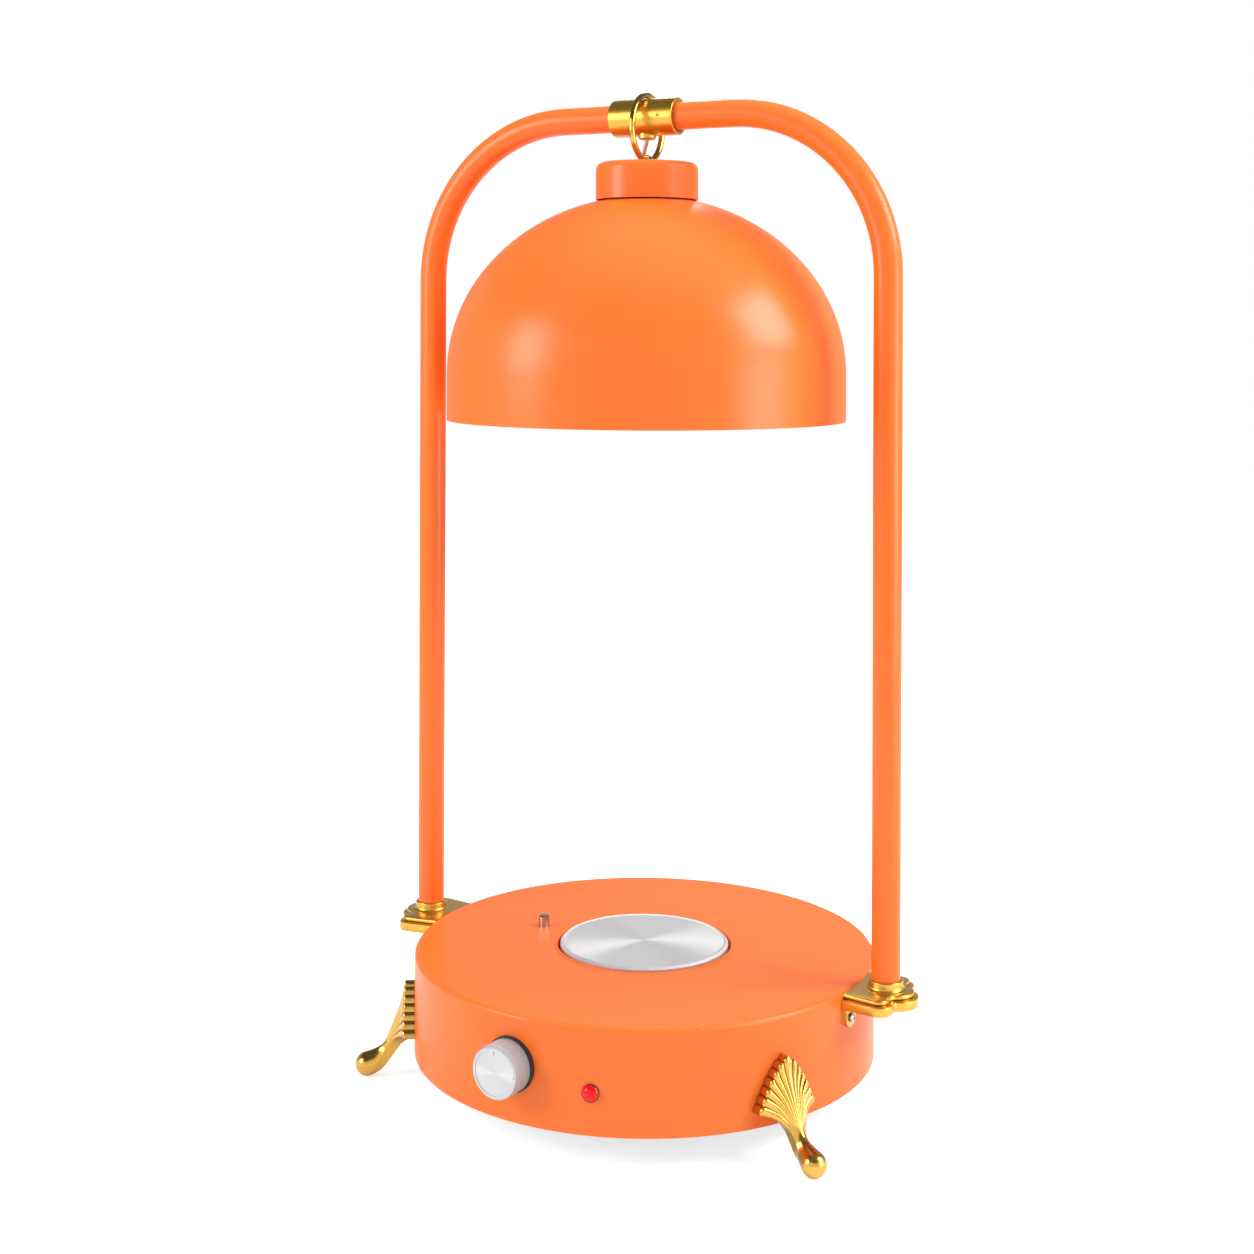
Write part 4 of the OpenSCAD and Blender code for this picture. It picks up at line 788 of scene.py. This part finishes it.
class HEATLAMP_OT_button_spring(bpy.types.Operator):
    """The return spring under the push button"""

    bl_idname = "heatlamp.button_spring"
    bl_label = "Button spring"

    def execute(self, context):
        wire_radius, turns, steps = 0.55 * MM, 5, 24
        wire = plain("Spring wire", ZINC, Metallic=1.0, Roughness=0.3)[0]
        centre, size = middle("button_spring"), high("button_spring") - low("button_spring")
        radius = size.y / 2 - wire_radius
        lift = size.z - 2 * wire_radius
        path = []
        for i in range(turns * steps + 1):
            turn = 2 * math.pi * i / steps
            path.append(Vector((centre.x + radius * math.cos(turn), centre.y + radius * math.sin(turn),
                                low("button_spring").z + wire_radius + lift * i / (turns * steps))))
        piece = tube("return_spring", path, wire_radius, 8, wire)
        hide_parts("button_spring")
        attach(piece, "base")
        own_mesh(piece)
        return {"FINISHED"}


# Area lights: where each stands, the height on the lamp's axis that it faces, its width and height in metres,
# its power in watts and whether it lights matt surfaces or is only seen in gloss.
LIGHTS = {
    "right_softbox": ((1.53, 0.35, 1.42), 0.45, 0.9, 0.9, 30, True),
    "left_softbox": ((-1.15, -1.3, 0.95), 0.45, 0.7, 0.9, 16.5, True),
    "right_strip": ((1.95, 0.1, 0.42), 0.1, 0.9, 0.8, 13, False),
    "back_strip": ((-0.62, 1.4, 1.55), 0.1, 0.35, 0.5, 2.6, False),
    "top_softbox": ((0, 0.2, 3.0), 0, 3.0, 3.0, 56, True),
}
FLOOR_REACH = 4.0
FLOOR_DROP = 0.1 * MM
FLOOR_WHITE = (0.86, 0.86, 0.86, 1.0)
# The floor's glow: its strength to gloss and glass, and how much more the camera sees.
FLOOR_GLOW = 0.12
FLOOR_GLOW_SEEN = 0.5
# The world's strength as a light, and as the camera, gloss and glass see it.
WORLD_FILL = 0.5
WORLD_SEEN = 1.0
# How far from the axis the grey flags stand, how high they reach and where the left one ends in front.
FLAG_REACH = 2.5
FLAG_TOP = 1.7
FLAG_FRONT = -0.6
SENSOR_WIDTH = 36


def area_light(name, place, target, width, height, power):
    light = bpy.data.lights.new(name, "AREA")
    light.shape = "RECTANGLE"
    light.size, light.size_y, light.energy = width, height, power
    lamp = placed(name, light)
    lamp.location = place
    lamp.rotation_euler = (Vector(target) - Vector(place)).to_track_quat("-Z", "Y").to_euler()
    return lamp


def shown_rays(tree):
    """1 on rays from the camera, from gloss and through glass, else 0."""
    path = tree.add("ShaderNodeLightPath")
    first = tree.add("ShaderNodeMath", {0: path.outputs["Is Camera Ray"], 1: path.outputs["Is Glossy Ray"]},
                     operation="MAXIMUM")
    return tree.add("ShaderNodeMath", {0: first.outputs[0], 1: path.outputs["Is Transmission Ray"]},
                    operation="MAXIMUM")


def shown_choice(tree, unseen, seen, output):
    """Sends one shader to the output for rays that show it, and another for the rest."""
    choice = tree.add("ShaderNodeMixShader", {"Fac": shown_rays(tree).outputs[0]})
    tree.link(unseen.outputs[0], choice.inputs[1])
    tree.link(seen.outputs[0], choice.inputs[2])
    surface = tree.add(output)
    tree.link(choice.outputs[0], surface.inputs["Surface"])


def sheet(name, corners, material):
    """A flat object with four corners."""
    mesh = bpy.data.meshes.new(name)
    mesh.from_pydata(corners, [], [(0, 1, 2, 3)])
    mesh.materials.append(material)
    return placed(name, mesh)


class HEATLAMP_OT_stage(bpy.types.Operator):
    """Pale floor, white surroundings, grey flags, soft lights and the camera"""

    bl_idname = "heatlamp.stage"
    bl_label = "Stage, lights and camera"

    def execute(self, context):
        scene = context.scene
        self.floor()
        self.surroundings(scene)
        self.flags()
        self.lights()
        self.camera(scene)
        scene.view_settings.view_transform = "Standard"
        return {"FINISHED"}

    def floor(self):
        material, tree = empty_material("Pale floor")
        diffuse = tree.add("ShaderNodeBsdfDiffuse", {"Color": FLOOR_WHITE})
        seen = tree.add("ShaderNodeLightPath").outputs["Is Camera Ray"]
        level = tree.add("ShaderNodeMath", {0: seen, 1: FLOOR_GLOW_SEEN, 2: FLOOR_GLOW}, operation="MULTIPLY_ADD")
        glow = tree.add("ShaderNodeEmission", {"Color": WHITE, "Strength": level.outputs[0]})
        both = tree.add("ShaderNodeAddShader")
        tree.link(diffuse.outputs[0], both.inputs[0])
        tree.link(glow.outputs[0], both.inputs[1])
        shown_choice(tree, diffuse, both, "ShaderNodeOutputMaterial")
        reach = FLOOR_REACH
        floor = sheet("studio_floor", [(-reach, -reach, 0), (reach, -reach, 0), (reach, reach, 0),
                                       (-reach, reach, 0)], material)
        floor.location.z = -FLOOR_DROP

    def surroundings(self, scene):
        world = bpy.data.worlds.new("White studio")
        world.use_nodes = True
        scene.world = world
        tree = Tree(world.node_tree)
        fill = tree.add("ShaderNodeBackground", {"Color": WHITE, "Strength": WORLD_FILL})
        seen = tree.add("ShaderNodeBackground", {"Color": WHITE, "Strength": WORLD_SEEN})
        shown_choice(tree, fill, seen, "ShaderNodeOutputWorld")

    def flags(self):
        """Grey flags round the set that only gloss sees, as a photographer sets them for metal."""
        reach, top, front = FLAG_REACH, FLAG_TOP, FLAG_FRONT
        flags = {
            "flag_back": (0.42, [(-reach, reach, 0), (reach, reach, 0), (reach, reach, top), (-reach, reach, top)]),
            "flag_left": (0.4, [(-reach, front, 0), (-reach, reach, 0), (-reach, reach, top), (-reach, front, top)]),
            "flag_above": (0.12, [(-reach, -reach, top), (reach, -reach, top), (reach, reach, top),
                                  (-reach, reach, top)]),
        }
        for name, (strength, corners) in flags.items():
            grey, tree = empty_material(name)
            tone = tree.add("ShaderNodeEmission", {"Color": WHITE, "Strength": strength})
            surface = tree.add("ShaderNodeOutputMaterial")
            tree.link(tone.outputs[0], surface.inputs["Surface"])
            flag = sheet(name, corners, grey)
            for ray in ("camera", "diffuse", "transmission", "volume_scatter", "shadow"):
                setattr(flag, f"visible_{ray}", False)

    def lights(self):
        for name, (place, faces, width, height, power, lights_matt) in LIGHTS.items():
            lamp = area_light(name, place, (0, 0, faces), width, height, power)
            lamp.visible_diffuse = lights_matt

    def camera(self, scene):
        view = scene.heat_lamp_view
        around, tilt, roll = (math.radians(value) for value in (view.azimuth, view.pitch, view.roll))
        facing = around + math.radians(view.turn)
        ahead = Vector((-math.sin(facing) * math.cos(tilt), math.cos(facing) * math.cos(tilt), -math.sin(tilt)))
        right = Vector((math.cos(facing), math.sin(facing), 0))
        up = right.cross(ahead)
        across = right * math.cos(roll) + up * math.sin(roll)
        above = up * math.cos(roll) - right * math.sin(roll)
        camera = placed("camera", bpy.data.cameras.new("camera"))
        camera.data.sensor_width = SENSOR_WIDTH
        camera.data.lens = SENSOR_WIDTH * view.focal
        camera.data.shift_y = view.shift
        place = Vector((view.distance * math.sin(around), -view.distance * math.cos(around),
                        TABLE_TO_DRUM_TOP + view.height))
        turn = Matrix((across, above, -ahead)).transposed()
        camera.matrix_world = Matrix.Translation(place) @ turn.to_4x4()
        scene.camera = camera


GROUPS = (
    HEATLAMP_OT_stage, HEATLAMP_OT_lead, HEATLAMP_OT_painted_sheet, HEATLAMP_OT_cast_brass, HEATLAMP_OT_shell_feet,
    HEATLAMP_OT_spun_parts, HEATLAMP_OT_button_spring, HEATLAMP_OT_indicator, HEATLAMP_OT_bulb,
    HEATLAMP_OT_hidden_parts,
)


class HEATLAMP_PT_panel(bpy.types.Panel):
    """The heat lamp's pieces and settings"""

    bl_idname = "HEATLAMP_PT_panel"
    bl_label = "Heat lamp"
    bl_space_type = "VIEW_3D"
    bl_region_type = "UI"
    bl_category = "Heat lamp"

    def draw(self, context):
        for settings in (context.scene.heat_lamp_finishes, context.scene.heat_lamp_view):
            box = self.layout.box()
            for name in settings.__annotations__:
                box.prop(settings, name)
        for group in GROUPS:
            self.layout.operator(group.bl_idname)


CLASSES = (HeatLampFinishes, HeatLampView, *GROUPS, HEATLAMP_PT_panel)


def register():
    for item in CLASSES:
        bpy.utils.register_class(item)
    bpy.types.Scene.heat_lamp_finishes = PointerProperty(type=HeatLampFinishes)
    bpy.types.Scene.heat_lamp_view = PointerProperty(type=HeatLampView)


def unregister():
    del bpy.types.Scene.heat_lamp_view
    del bpy.types.Scene.heat_lamp_finishes
    for item in reversed(CLASSES):
        bpy.utils.unregister_class(item)


def main():
    register()
    for group in GROUPS:
        area, name = group.bl_idname.split(".")
        getattr(getattr(bpy.ops, area), name)()


if __name__ == "__main__":
    main()
